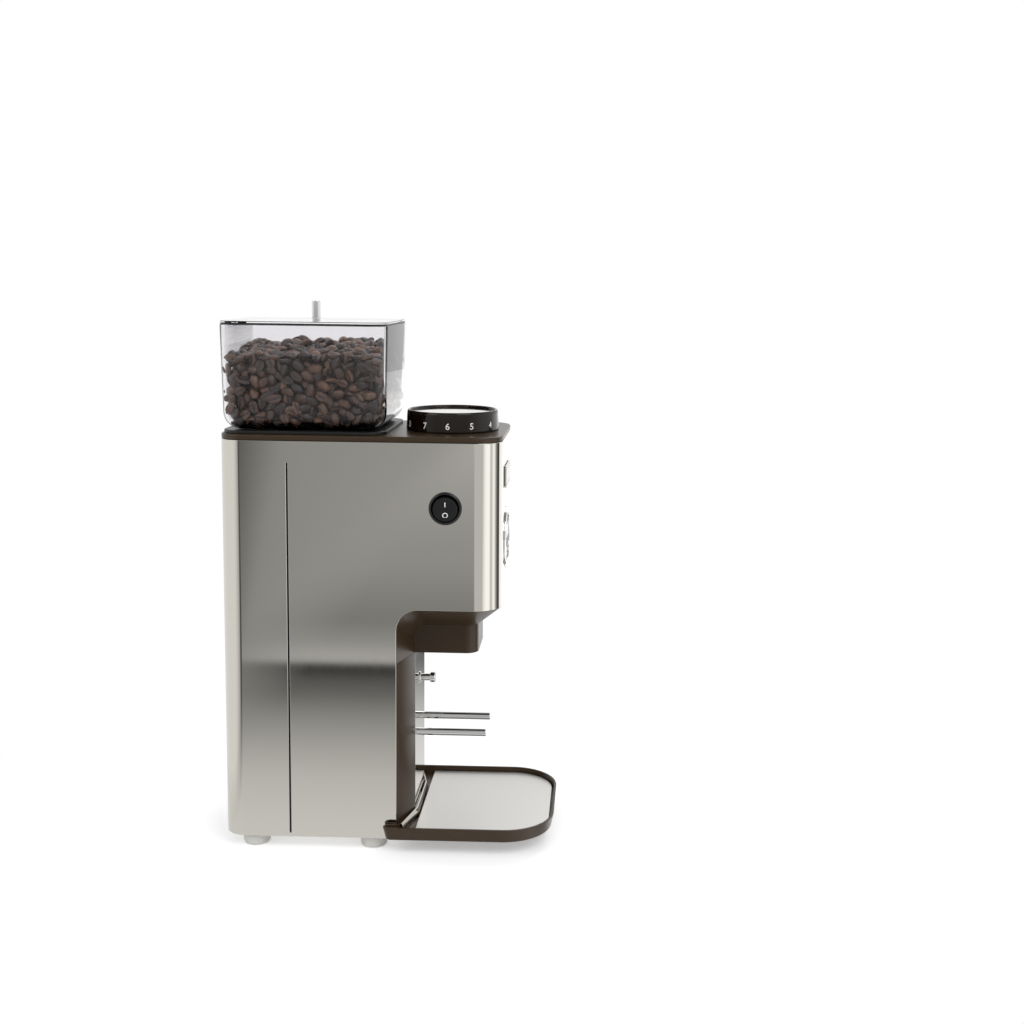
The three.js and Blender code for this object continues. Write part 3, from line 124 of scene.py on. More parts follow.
class GrinderSizes(bpy.types.PropertyGroup):
    """Radii, edges and small shapes that the frame doesn't set."""

    front_radius: length_property("Front corners", "Radius of the casing's front vertical corners", 22)
    back_radius: length_property("Back corners", "Radius of the casing's rear vertical corners", 18)
    sheet: length_property("Sheet", "Thickness of the casing sheet", 1.5)
    sheet_edge: length_property("Sheet edge", "Rounding of the casing's cut edges", 0.3)
    bay_back: length_property("Bay back", "Distance from the middle of the outline to the bay's edge", 7.6)
    bay_top: length_property("Bay top", "Height of the head's lower edge", 197)
    bay_radius: length_property("Bay radius", "Inner corner radius of the bay in the casing sides", 17)
    seam_y: length_property("Seam place", "Distance of the side seam behind the middle", 77.6)
    seam_width: length_property("Seam width", "Width of the side seam", 1.4)
    seam_bottom: length_property("Seam bottom", "Height of the seam's lower end", 13.4)
    seam_top: length_property("Seam top", "Height of the seam's upper end", 312.6)
    column_half: length_property("Column half width", "Half width of the column's flat middle", 28)
    column_face: length_property("Column face", "Distance of the column's face from the middle", 18.1)
    chute_front: length_property("Chute front", "Distance of the chute block's front from the middle", 69)
    chute_top: length_property("Chute top", "Height of the chute block's upper edge", 177)
    chute_radius: length_property("Chute corners", "Vertical corner radius of the chute block", 10)
    chute_blend: length_property("Chute blend", "Radius where the chute block meets the column", 12)
    cover_edge: length_property("Cover edge", "Rounding of the top cover's upper edge", 1.3)
    tray_radius: length_property("Tray corners", "Radius of the tray's front corners", 40)
    tray_draft: length_property("Tray draft", "How far the tray narrows towards its bottom", 2.2)
    tray_wall: length_property("Tray wall", "Thickness of the tray's rim", 2.0)
    hopper_corner: length_property("Hopper corners", "Radius of the hopper's vertical corners", 16)
    hopper_floor: length_property("Hopper floor edge", "Radius where the hopper's walls meet its floor", 13)
    hopper_wall: length_property("Hopper wall", "Thickness of the hopper's clear wall", 2.6)
    hopper_draft: length_property("Hopper draft", "How far each hopper wall leans out", 2)
    bean_length: length_property("Bean length", "Length of one coffee bean", 12)
    bean_width: length_property("Bean width", "Width of one coffee bean", 8.2)
    bean_height: length_property("Bean height", "Thickness of one coffee bean", 5.0)
    bean_spacing: length_property("Bean spacing", "Least distance between the middles of two beans", 6.0)
    numeral_height: length_property("Numeral height", "Height of the figures on the dial", 5.2)


class GrinderColours(bpy.types.PropertyGroup):
    """Colours of the grinder's finishes."""

    steel: colour_property("Steel", "Polished stainless steel", "#cdcac2")
    satin: colour_property("Satin steel", "Satin stainless steel", "#d6d4d0")
    brown: colour_property("Brown moulding", "Dark brown moulded plastic", "#3a2b1a")
    black: colour_property("Black moulding", "Black moulded plastic", "#191919")
    clear: colour_property("Clear plastic", "Clear moulded plastic", "#f1f0f2")
    rubber: colour_property("Rubber", "Pale grey rubber of the feet", "#d6d4ce")
    bean_dark: colour_property("Dark bean", "Darkest roast in the hopper", "#2a1e19")
    bean_light: colour_property("Light bean", "Lightest roast in the hopper", "#785842")
    print_white: colour_property("Printing", "White printing on the dial and switch", "#fbfaf6")
    enamel: colour_property("Badge line", "Red enamel line on the badge", "#a8252a")
    floor: colour_property("Floor", "Studio floor", "#f4f4f4")


def sizes():
    return bpy.context.scene.grinder_sizes


def colours():
    return bpy.context.scene.grinder_colours


def grey(value):
    return (value, value, value, 1.0)


def greys(*stops):
    """Colour ramp stops from (position, brightness) pairs."""
    return [(position, grey(value)) for position, value in stops]


def add_node(tree, kind, inputs=None, stops=(), **settings):
    """Adds one node. settings are its own properties, stops a ramp's (position, colour) pairs, and
    inputs are values, sockets to link from, or nodes whose first output is linked."""
    made = tree.nodes.new(kind)
    for name, value in settings.items():
        setattr(made, name, value)
    for name, value in (inputs or {}).items():
        if isinstance(value, bpy.types.Node):
            value = value.outputs[0]
        if isinstance(value, bpy.types.NodeSocket):
            tree.links.new(value, made.inputs[name])
        else:
            made.inputs[name].default_value = value
    if stops:
        elements = made.color_ramp.elements
        while len(elements) < len(stops):
            elements.new(0.5)
        for element, (position, colour) in zip(elements, stops):
            element.position = position
            element.color = colour
    return made


def emptied(owner):
    """The node tree of a material or world, with nothing in it yet."""
    owner.use_nodes = True
    owner.node_tree.nodes.clear()
    return owner.node_tree


def object_pattern(tree, period, detail, stretch=(1, 1, 1)):
    """Noise on Object coordinates whose lumps are about one period (in metres) across."""
    place = add_node(tree, "ShaderNodeTexCoord").outputs["Object"]
    scaled = add_node(tree, "ShaderNodeMapping", {"Vector": place, "Scale": stretch})
    return add_node(tree, "ShaderNodeTexNoise", {
        "Vector": scaled, "Scale": 1 / period, "Detail": detail}).outputs["Fac"]


def material(maker):
    """The material whose shader inputs a maker function gives, built once."""
    name = maker.__name__ + "_finish"
    made = bpy.data.materials.get(name)
    if made is None:
        made = bpy.data.materials.new(name)
        tree = emptied(made)
        shader = add_node(tree, "ShaderNodeBsdfPrincipled", maker(tree))
        add_node(tree, "ShaderNodeOutputMaterial", {"Surface": shader})
    return made


# ---------------------------------------------------------------- materials
def polished_steel(tree):
    """Stainless sheet polished bright: mirror-like, with a faint vertical grain and soft waviness."""
    grain = object_pattern(tree, 1.2 * MM, 3, stretch=(1, 1, 0.02))
    wave = object_pattern(tree, 90 * MM, 1)
    return {
        "Base Color": colours().steel,
        "Metallic": 1,
        "Roughness": add_node(tree, "ShaderNodeMapRange", {"Value": grain, "To Min": 0.042, "To Max": 0.078}),
        "Normal": add_node(tree, "ShaderNodeBump", {"Height": wave, "Strength": 0.12, "Distance": 0.4 * MM}),
    }


def satin_steel(tree):
    """Stainless sheet with a fine satin grain: soft reflections stretched across the grain."""
    grain = object_pattern(tree, 0.9 * MM, 4, stretch=(1, 0.03, 1))
    return {
        "Base Color": colours().satin,
        "Metallic": 1,
        "Roughness": add_node(tree, "ShaderNodeMapRange", {"Value": grain, "To Min": 0.28, "To Max": 0.4}),
        "Normal": add_node(tree, "ShaderNodeBump", {"Height": grain, "Strength": 0.1, "Distance": 0.03 * MM}),
    }


def bright_chrome(tree):
    """Chrome plate over turned steel: a clean mirror with faint turning marks."""
    marks = object_pattern(tree, 0.8 * MM, 2)
    return {
        "Base Color": linear("#dcdcdc"),
        "Metallic": 1,
        "Roughness": add_node(tree, "ShaderNodeMapRange", {"Value": marks, "To Min": 0.03, "To Max": 0.07}),
    }


def moulded(tree, colour, roughness, grain_depth):
    """Injection-moulded ABS: a soft gloss broken by the fine spark-eroded grain of the mould."""
    grain = object_pattern(tree, 0.7 * MM, 2)
    patch = object_pattern(tree, 40 * MM, 3)
    tint = add_node(tree, "ShaderNodeMapRange", {"Value": patch, "To Min": 0.94, "To Max": 1.06})
    return {
        "Base Color": add_node(tree, "ShaderNodeMixRGB", {
            "Fac": 1.0, "Color1": colour, "Color2": tint}, blend_type="MULTIPLY"),
        "Roughness": add_node(tree, "ShaderNodeMapRange", {
            "Value": patch, "To Min": roughness * 0.9, "To Max": roughness * 1.12}),
        "Normal": add_node(tree, "ShaderNodeBump", {
            "Height": grain, "Strength": 0.25, "Distance": grain_depth}),
        "IOR": 1.54,
        "Specular IOR Level": 0.3,
    }


def brown_moulding(tree):
    """Brown ABS from a grained mould: a soft gloss."""
    return moulded(tree, colours().brown, 0.3, 0.02 * MM)


def brown_gloss(tree):
    """Brown ABS from a polished mould: nearly black, with sharp highlights."""
    return moulded(tree, linear("#1a110a"), 0.06, 0.003 * MM)


def black_moulding(tree):
    """Black ABS from a grained mould: a dull gloss."""
    return moulded(tree, colours().black, 0.34, 0.02 * MM)


def clear_plastic(tree):
    """Clear styrene: glass-like, with the faintest haze and flow marks from moulding."""
    flow = object_pattern(tree, 60 * MM, 1)
    return {
        "Base Color": colours().clear,
        "Transmission Weight": 1,
        "IOR": 1.3,
        "Roughness": add_node(tree, "ShaderNodeMapRange", {"Value": flow, "To Min": 0.0, "To Max": 0.02}),
    }


def roasted_bean(tree):
    """Roasted coffee: brown skin that varies from bean to bean, with painted shade along the crease line,
    slightly oily.
    """
    tone = add_node(tree, "ShaderNodeAttribute", attribute_name="roast").outputs["Fac"]
    line = add_node(tree, "ShaderNodeAttribute", attribute_name="crease").outputs["Fac"]
    # Mask of the painted shade: the crease weights, narrowed, mark a dark line along each bean's crease,
    # where the groove's shadow falls.
    crease = add_node(tree, "ShaderNodeMapRange", {"Value": line, "From Min": 0.42, "From Max": 0.75})
    base = add_node(tree, "ShaderNodeValToRGB", {"Fac": tone}, stops=[
        (0.0, colours().bean_dark), (1.0, colours().bean_light)])
    skin = object_pattern(tree, 2.2 * MM, 3)
    mottled = add_node(tree, "ShaderNodeMapRange", {"Value": skin, "To Min": 0.6, "To Max": 1.3})
    varied = add_node(tree, "ShaderNodeMixRGB", {
        "Fac": 1.0, "Color1": base, "Color2": mottled}, blend_type="MULTIPLY")
    return {
        # Painted shade: the crease line is mixed towards near-black #150d09.
        "Base Color": add_node(tree, "ShaderNodeMixRGB", {
            "Fac": crease, "Color1": varied, "Color2": linear("#150d09")}),
        "Roughness": 0.38,
        "Normal": add_node(tree, "ShaderNodeBump", {"Height": skin, "Strength": 0.35, "Distance": 0.15 * MM}),
    }


def pale_rubber(tree):
    """Pale grey rubber: matt, with a light bloom."""
    speckle = object_pattern(tree, 1.5 * MM, 3)
    return {
        "Base Color": add_node(tree, "ShaderNodeMixRGB", {
            "Fac": speckle, "Color1": colours().rubber, "Color2": linear("#e2e0da")}),
        "Roughness": 0.72,
        "Normal": add_node(tree, "ShaderNodeBump", {
            "Height": speckle, "Strength": 0.2, "Distance": 0.05 * MM}),
    }


def white_print(tree):
    """Screen-printed ink: flat white with slightly uneven cover."""
    cover = object_pattern(tree, 0.5 * MM, 2)
    return {
        "Base Color": add_node(tree, "ShaderNodeMixRGB", {
            "Fac": cover, "Color1": colours().print_white, "Color2": linear("#eeece6")}),
        "Roughness": 0.5,
    }


def red_enamel(tree):
    """Baked enamel filled into the badge: even colour under a hard gloss."""
    pool = object_pattern(tree, 3 * MM, 2)
    return {
        "Base Color": add_node(tree, "ShaderNodeMixRGB", {
            "Fac": pool, "Color1": colours().enamel, "Color2": linear("#8d1d22")}),
        "Roughness": 0.15,
    }


def screen_glass(tree):
    """Black display window: glossy glass over a dark cell matrix."""
    cells = object_pattern(tree, 1.0 * MM, 0)
    return {
        "Base Color": add_node(tree, "ShaderNodeMixRGB", {
            "Fac": cells, "Color1": linear("#0b0f14"), "Color2": linear("#121a22")}),
        "Roughness": 0.06,
    }


def cast_metal(tree):
    """Cast aluminium as it leaves the die: grey, grainy and dull."""
    grit = object_pattern(tree, 1.2 * MM, 3)
    return {
        "Base Color": linear("#a3a5a8"),
        "Metallic": 1,
        "Roughness": add_node(tree, "ShaderNodeMapRange", {"Value": grit, "To Min": 0.45, "To Max": 0.65}),
        "Normal": add_node(tree, "ShaderNodeBump", {"Height": grit, "Strength": 0.4, "Distance": 0.1 * MM}),
    }


def board_laminate(tree):
    """Circuit board: green solder mask over woven glass."""
    weave = object_pattern(tree, 0.8 * MM, 1)
    return {
        "Base Color": add_node(tree, "ShaderNodeMixRGB", {
            "Fac": weave, "Color1": linear("#1d5436"), "Color2": linear("#256b45")}),
        "Roughness": 0.4,
    }


# ---------------------------------------------------------------- mesh helpers
def outline_face(bm, corners, z, steps=CORNER_STEPS):
    """A flat face at height z through (x, y, radius) corners, each rounded to its radius."""
    verts = [bm.verts.new((x, y, z)) for x, y, _ in corners]
    radii = {vert: corner[2] for vert, corner in zip(verts, corners)}
    bm.faces.new(verts)
    for radius in sorted(set(radii.values())):
        chosen = [vert for vert, r in radii.items() if r == radius and vert.is_valid]
        if radius > 0:
            bmesh.ops.bevel(bm, geom=chosen, offset=radius, offset_type="OFFSET", segments=steps,
                            profile=0.5, affect="VERTICES", material=-1)
    bm.faces.ensure_lookup_table()
    face = bm.faces[-1]
    if face.normal.z < 0:
        face.normal_flip()
    return face


def rectangle(half_width, front, back, front_radius, back_radius, inset=0.0):
    """Corners of a rounded rectangle, drawn in from its sides by an inset."""
    x = half_width - inset
    low = front + inset
    high = back - inset
    near = max(front_radius - inset, 0.4 * MM)
    far = max(back_radius - inset, 0.4 * MM)
    return [(-x, low, near), (x, low, near), (x, high, far), (-x, high, far)]


def raise_face(bm, face, z):
    """Extrudes a face straight up or down to height z and returns the new end face."""
    made = bmesh.ops.extrude_face_region(bm, geom=[face])["geom"]
    end = next(g for g in made if isinstance(g, bmesh.types.BMFace))
    for vert in end.verts:
        vert.co.z = z
    return end


def face_out(bm):
    """Turns the faces of closed shapes outwards."""
    bmesh.ops.recalc_face_normals(bm, faces=bm.faces[:])


def new_verts(made):
    """The vertices among what an operator made."""
    return [g for g in made if isinstance(g, bmesh.types.BMVert)]


def placed(name):
    """A node's low and high corners and its middle."""
    low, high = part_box(name)
    return low, high, (low + high) / 2


def slab(bm, corners, z0, z1, steps=CORNER_STEPS):
    """A closed plate with rounded corners, from z0 to z1."""
    bottom = outline_face(bm, corners, z0, steps)
    top = raise_face(bm, bottom, z1)
    face_out(bm)
    return top


def level_edges(bm, z, tolerance=0.02 * MM):
    """Edges that bound the faces lying flat at height z."""
    return [e for e in bm.edges
            if all(abs(v.co.z - z) < tolerance for v in e.verts)
            and any(abs(f.normal.z) < 0.9 for f in e.link_faces)]


def round_edges(bm, edges, radius, segments=3):
    bmesh.ops.bevel(bm, geom=edges, offset=radius, offset_type="OFFSET", segments=segments,
                    profile=0.5, affect="EDGES", material=-1, clamp_overlap=True)


def turned(bm, profile, centre, axis=UP, steps=96):
    """Spins (radius, height) points into a closed solid of revolution about an axis through centre."""
    side = Vector((1, 0, 0)) if abs(axis.x) < 0.5 else Vector((0, 1, 0))
    verts = [bm.verts.new(centre + side * r + axis * h) for r, h in profile]
    edges = [bm.edges.new(pair) for pair in zip(verts, verts[1:])]
    bmesh.ops.spin(bm, geom=verts + edges, cent=centre, axis=axis, angle=2 * math.pi,
                   steps=steps, use_merge=True)
    bmesh.ops.remove_doubles(bm, verts=bm.verts[:], dist=WELD)
    face_out(bm)


def finished(bm, name, body, maker, replaces=(), bevel=0.0, weighted=True):
    """Turns a bmesh into a piece that rides on a body, with its material and finishing modifiers."""
    mesh = bpy.data.meshes.new(name)
    bm.to_mesh(mesh)
    bm.free()
    piece = bpy.data.objects.new(name, mesh)
    bpy.context.scene.collection.objects.link(piece)
    mesh.materials.append(material(maker))
    mesh.shade_smooth()
    mesh.set_sharp_from_angle(angle=SMOOTH_ANGLE)
    if bevel:
        made = piece.modifiers.new("Edge", "BEVEL")
        made.width = bevel
        made.segments = 2
        made.limit_method = "ANGLE"
        made.angle_limit = SMOOTH_ANGLE
        made.harden_normals = True
    if weighted:
        made = piece.modifiers.new("Flat shading", "WEIGHTED_NORMAL")
        made.weight = 80
        made.keep_sharp = True
    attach(piece, body)
    if replaces:
        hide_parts(*replaces)
    return piece


def cut(piece, cutter):
    """Cuts a closed bmesh out of a piece with a boolean, applied at once."""
    mesh = bpy.data.meshes.new("cutter")
    cutter.to_mesh(mesh)
    cutter.free()
    tool = bpy.data.objects.new("cutter", mesh)
    bpy.context.scene.collection.objects.link(tool)
    made = piece.modifiers.new("Cut", "BOOLEAN")
    made.operation = "DIFFERENCE"
    made.solver = "EXACT"
    made.object = tool
    piece.modifiers.move(len(piece.modifiers) - 1, 0)
    others = [m for m in piece.modifiers if m != made]
    for other in others:
        other.show_viewport = False
    graph = bpy.context.evaluated_depsgraph_get()
    result = bpy.data.meshes.new_from_object(piece.evaluated_get(graph), depsgraph=graph)
    result.name = piece.name
    for other in others:
        other.show_viewport = True
    piece.modifiers.remove(made)
    piece.data = result
    result.shade_smooth()
    result.set_sharp_from_angle(angle=SMOOTH_ANGLE)
    bpy.data.objects.remove(tool)


def walled(piece, thickness, edge_width, segments=2, edge_angle=30, even=False):
    """Gives an open sheet its thickness, drawn inwards, and softens its edges."""
    wall = piece.modifiers.new("Wall", "SOLIDIFY")
    wall.thickness = thickness
    wall.offset = -1
    wall.use_even_offset = even
    edge = piece.modifiers.new("Soft edge", "BEVEL")
    edge.width = edge_width
    edge.segments = segments
    edge.angle_limit = math.radians(edge_angle)


def paint(maker, *names):
    """Gives CAD nodes their material through their own slots."""
    for name in names:
        node = frame["nodes"][name]
        node.data.materials.clear()
        node.data.materials.append(material(maker))


def round_hole(centre, axis, radius, length):
    """A closed cylinder centred on a point, for cutting a round hole."""
    bm = bmesh.new()
    turn = UP.rotation_difference(axis).to_matrix().to_4x4()
    bmesh.ops.create_cone(bm, cap_ends=True, segments=64, radius1=radius, radius2=radius,
                          depth=length, matrix=Matrix.Translation(centre) @ turn)
    return bm


def box_block(bm, low, high):
    """A closed box between two corners."""
    low, high = Vector(low), Vector(high)
    span = high - low
    made = bmesh.ops.create_cube(bm, size=1)["verts"]
    bmesh.ops.scale(bm, vec=span, verts=made)
    bmesh.ops.translate(bm, vec=(low + high) / 2, verts=made)
    return made


# ---------------------------------------------------------------- casing
def casing_corners(inset=0.0):
    low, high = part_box("body_shell")
    s = sizes()
    return rectangle(high.x, low.y, high.y, s.front_radius, s.back_radius, inset)


def bay_cutter(low, high):
    """The C-shaped bay's side profile, as a block through the whole casing."""
    s = sizes()
    bm = bmesh.new()
    span = high.x + 20 * MM
    ahead = low.y - 20 * MM
    below = low.z - 20 * MM
    verts = [bm.verts.new((-span, y, z)) for y, z in
             [(ahead, below), (-s.bay_back, below), (-s.bay_back, s.bay_top), (ahead, s.bay_top)]]
    bm.faces.new(verts)
    bmesh.ops.bevel(bm, geom=[verts[2]], offset=s.bay_radius, segments=24, profile=0.5,
                    affect="VERTICES", material=-1)
    made = bmesh.ops.extrude_face_region(bm, geom=bm.faces[:])["geom"]
    bmesh.ops.translate(bm, vec=(2 * span, 0, 0), verts=new_verts(made))
    face_out(bm)
    return bm


def make_shell():
    low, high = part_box("body_shell")
    s = sizes()
    bm = bmesh.new()
    wall = outline_face(bm, casing_corners(), low.z, steps=20)
    ring = bmesh.ops.inset_region(bm, faces=[wall], thickness=s.sheet, use_boundary=True,
                                  use_even_offset=True)["faces"]
    bmesh.ops.delete(bm, geom=[wall], context="FACES")
    made = bmesh.ops.extrude_face_region(bm, geom=ring)["geom"]
    for vert in new_verts(made):
        vert.co.z = high.z
    face_out(bm)
    piece = finished(bm, "casing_wrap", "casing", polished_steel, ["body_shell"],
                     bevel=s.sheet_edge)
    cut(piece, bay_cutter(low, high))
    seam = bmesh.new()
    box_block(seam, (low.x - 9 * MM, s.seam_y - s.seam_width / 2, s.seam_bottom),
              (high.x + 9 * MM, s.seam_y + s.seam_width / 2, s.seam_top))
    cut(piece, seam)
    switch, bezel, gland = (placed(name)[2] for name in ("switch_housing", "display_bezel", "cable_gland"))
    for centre, axis, radius in (
            (Vector((low.x, switch.y, switch.z)), ALONG_X, SWITCH_HOLE),
            (Vector((0, low.y, bezel.z)), ALONG_Y, DISPLAY_HOLE),
            (Vector((gland.x, high.y, gland.z)), ALONG_Y, GLAND_HOLE)):
        cut(piece, round_hole(centre, axis, radius, 20 * MM))


def make_cover():
    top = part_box("top_cover")[1].z - 0.7 * MM
    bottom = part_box("body_shell")[1].z + 0.3 * MM
    bm = bmesh.new()
    slab(bm, casing_corners(), bottom, top, steps=20)
    round_edges(bm, level_edges(bm, top), sizes().cover_edge, 4)
    round_edges(bm, level_edges(bm, bottom), 0.4 * MM, 2)
    finished(bm, "top_cover_plate", "casing", brown_moulding, ["top_cover"])


def lining_profile(straight_from):
    """Matching outer and inner paths of the lining, as lists of points, on the left side.

    The outer path follows the casing's edge and the inner path the flat middle of the column
    and the upper edge of the chute block, from the column up round the bay to the front."""
    s = sizes()
    low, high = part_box("body_shell")
    edge_x = high.x - 0.2 * MM
    gap = 0.3 * MM
    outer_centre = Vector((0, -s.bay_back - s.bay_radius, s.bay_top - s.bay_radius))
    inner_centre = Vector((0, -s.column_face - s.chute_blend, s.chute_top - s.chute_blend))
    outer = [Vector((-edge_x, -s.bay_back - gap, straight_from))]
    inner = [Vector((-s.column_half, -s.column_face, straight_from))]
    for i in range(CORNER_STEPS + 1):
        angle = math.pi / 2 * i / CORNER_STEPS
        ray = Vector((0, math.cos(angle), math.sin(angle)))
        outer.append(outer_centre + ray * (s.bay_radius - gap) - Vector((edge_x, 0, 0)))
        inner.append(inner_centre + ray * s.chute_blend - Vector((s.column_half, 0, 0)))
    outer_turn = Vector((-edge_x + s.front_radius, low.y + gap + s.front_radius, s.bay_top - gap))
    inner_turn = Vector((-s.column_half + s.chute_radius, -s.chute_front + s.chute_radius, s.chute_top))
    for i in range(CORNER_STEPS + 1):
        angle = math.pi / 2 * i / CORNER_STEPS
        ray = Vector((-math.cos(angle), -math.sin(angle), 0))
        outer.append(outer_turn + ray * s.front_radius)
        inner.append(inner_turn + ray * s.chute_radius)
    return outer, inner


def mirrored(path):
    """A path on the left side carried on through its mirror image on the right."""
    return path + [Vector((-p.x, p.y, p.z)) for p in reversed(path)]


def strung(bm, path):
    """Vertices along a path, joined by edges."""
    verts = [bm.verts.new(p) for p in path]
    return [bm.edges.new(pair) for pair in zip(verts, verts[1:])]


def make_chute():
    chute_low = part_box("chute_housing")[0]
    outer, inner = lining_profile(chute_low.z)
    floor = [Vector((p.x, p.y, chute_low.z)) for p in inner]
    bm = bmesh.new()
    bands = [strung(bm, mirrored(path)) for path in (outer, inner, floor)]
    bmesh.ops.bridge_loops(bm, edges=bands[0] + bands[1])
    bmesh.ops.bridge_loops(bm, edges=bands[1] + bands[2])
    bmesh.ops.remove_doubles(bm, verts=bm.verts[:], dist=0.01 * MM)
    centre = placed("chute_spout")[2]
    bm.verts.ensure_lookup_table()
    widest = sizes().column_half + 0.1 * MM
    rim = [e for e in bm.edges if e.is_boundary and all(
        abs(v.co.z - chute_low.z) < 0.01 * MM and abs(v.co.x) < widest for v in e.verts)]
    ends = sorted({v for e in rim for v in e.verts if sum(x in rim for x in v.link_edges) == 1},
                  key=lambda v: v.co.x)
    rim.append(bm.edges.new((ends[0], ends[-1])))
    circle = bmesh.ops.create_circle(bm, segments=48, radius=SPOUT_HOLE,
                                     matrix=Matrix.Translation((0, centre.y, chute_low.z)))["verts"]
    hole = list({e for v in circle for e in v.link_edges})
    bmesh.ops.triangle_fill(bm, edges=rim + hole, use_beauty=True)
    face_out(bm)
    below = min(bm.faces, key=lambda f: f.calc_center_median().z)
    if below.normal.z > 0:
        bmesh.ops.reverse_faces(bm, faces=bm.faces[:])
    piece = finished(bm, "chute_moulding", "casing", brown_moulding, ["chute_housing"])
    walled(piece, 2.4 * MM, 0.25 * MM, edge_angle=40)
    piece.modifiers.move(0, 2)


def make_column():
    low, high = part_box("column_lining")
    panel_low, panel_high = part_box("column_panel")
    s = sizes()
    edge_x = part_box("body_shell")[1].x - 0.2 * MM
    gap = 0.4 * MM
    half = [Vector((-edge_x, -s.bay_back - 0.3 * MM, low.z)),
            Vector((-s.column_half, -s.column_face, low.z)),
            Vector((panel_low.x - gap, -s.column_face, low.z)),
            Vector((panel_low.x - gap, panel_high.y + gap, low.z))]
    bm = bmesh.new()
    edges = strung(bm, mirrored(half))
    made = bmesh.ops.extrude_edge_only(bm, edges=edges)["geom"]
    for vert in new_verts(made):
        vert.co.z = high.z + 0.25 * MM
    face_out(bm)
    if bm.faces[:][0].normal.y > 0:
        bmesh.ops.reverse_faces(bm, faces=bm.faces[:])
    piece = finished(bm, "column_moulding", "casing", brown_moulding, ["column_lining"],
                     weighted=False)
    walled(piece, 2.2 * MM, 0.2 * MM)

    bm = bmesh.new()
    box_block(bm, panel_low, panel_high)
    panel = finished(bm, "column_plate", "casing", polished_steel, ["column_panel"],
                     bevel=0.35 * MM)
    for name in ("fork_rod_left", "fork_rod_right", "button_bush"):
        hole_low, hole_high, centre = placed(name)
        radius = (hole_high.x - hole_low.x) / 2 + 0.3 * MM
        centre.y = panel_low.y
        cut(panel, round_hole(centre, ALONG_Y, radius, 10 * MM))


class GRINDER_OT_casing(bpy.types.Operator):
    """Builds the steel casing, its top cover, the column and the chute"""

    bl_idname = "grinder.casing"
    bl_label = "Casing"

    def execute(self, context):
        make_shell()
        make_cover()
        make_column()
        make_chute()
        paint(satin_steel, "base_plate")
        paint(black_moulding, "seam_strip_left", "seam_strip_right", "chute_spout", "cable_gland")
        return {"FINISHED"}


# ---------------------------------------------------------------- feet
class GRINDER_OT_feet(bpy.types.Operator):
    """Builds the four rubber feet and finishes the base screws"""

    bl_idname = "grinder.feet"
    bl_label = "Feet"

    def execute(self, context):
        for place in ("front_left", "front_right", "rear_left", "rear_right"):
            node = "foot_" + place
            low, high, centre = placed(node)
            centre.z = low.z
            radius = (high.x - low.x) / 2
            height = high.z - low.z
            profile = [
                (0, 0), (radius - 5 * MM, 0), (radius - 5 * MM, 0.3 * MM), (radius - 2 * MM, 0.3 * MM),
                (radius - 1 * MM, 0.6 * MM), (radius - 0.5 * MM, 1.6 * MM), (radius, height - 1.4 * MM),
                (radius - 0.3 * MM, height - 0.4 * MM), (radius - 0.8 * MM, height), (0, height)]
            bm = bmesh.new()
            turned(bm, profile, centre, steps=64)
            finished(bm, "rubber_" + node, "casing", pale_rubber, [node])
        paint(bright_chrome, *(f"base_screw_{i}" for i in range(1, 5)))
        return {"FINISHED"}


# ---------------------------------------------------------------- fork and start button
def rounded_rod(bm, start, end, radius, edge=0.6 * MM, steps=48):
    """A round bar from start to end with softened rims."""
    axis = (end - start).normalized()
    length = (end - start).length
    profile = [(0, 0), (radius - edge, 0), (radius - edge * 0.3, edge * 0.3), (radius, edge),
               (radius, length - edge), (radius - edge * 0.3, length - edge * 0.3),
               (radius - edge, length), (0, length)]
    turned(bm, profile, start, axis, steps)


class GRINDER_OT_fork(bpy.types.Operator):
    """Builds the fork rods and the start button"""

    bl_idname = "grinder.fork"
    bl_label = "Fork and start button"

    def execute(self, context):
        for side in ("left", "right"):
            node = "fork_rod_" + side
            low, high, centre = placed(node)
            bm = bmesh.new()
            rounded_rod(bm, Vector((centre.x, high.y, centre.z)), Vector((centre.x, low.y, centre.z)),
                        (high.x - low.x) / 2)
            finished(bm, "chrome_" + node, "casing", bright_chrome, [node])
        low, high, centre = placed("start_button")
        tip = Vector((centre.x, low.y, centre.z))
        radius, shaft = 4.3 * MM, 2.9 * MM
        profile = [(0, 0.25 * MM), (radius - 1.4 * MM, 0.1 * MM), (radius - 0.6 * MM, 0),
                   (radius - 0.15 * MM, 0.2 * MM), (radius, 0.6 * MM), (radius, 3.4 * MM),
                   (radius - 0.3 * MM, 3.9 * MM), (radius - 0.8 * MM, 4.1 * MM), (shaft + 0.2 * MM, 4.4 * MM),
                   (shaft, 4.8 * MM), (shaft, high.y - low.y), (0, high.y - low.y)]
        bm = bmesh.new()
        turned(bm, profile, tip, ALONG_Y, 48)
        finished(bm, "start_button_turned", "start_button", bright_chrome, ["start_button"])
        low, high, centre = placed("button_bush")
        outer, bore, length = (high.x - low.x) / 2, 3.15 * MM, high.y - low.y
        bm = bmesh.new()
        profile = [(bore, 0.3 * MM), (bore + 0.3 * MM, 0), (outer - 0.4 * MM, 0), (outer, 0.4 * MM),
                   (outer, length), (bore, length), (bore, 0.3 * MM)]
        turned(bm, profile, Vector((centre.x, low.y, centre.z)), ALONG_Y, 48)
        finished(bm, "button_bush_turned", "casing", bright_chrome, ["button_bush"])
        return {"FINISHED"}


# ---------------------------------------------------------------- tray
def tray_corners():
    low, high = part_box("tray")
    s = sizes()
    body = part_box("body_shell")[1].x + 0.6 * MM
    back = -s.bay_back - 0.6 * MM
    face = -s.column_face - 0.6 * MM
    ear = 4.4 * MM
    half = [(high.x, low.y, s.tray_radius), (high.x, high.y, ear), (body, high.y, 3.6 * MM),
            (body, back, 0.0), (s.column_half, face, 0.0)]
    return [(-x, y, r) for x, y, r in reversed(half)] + half


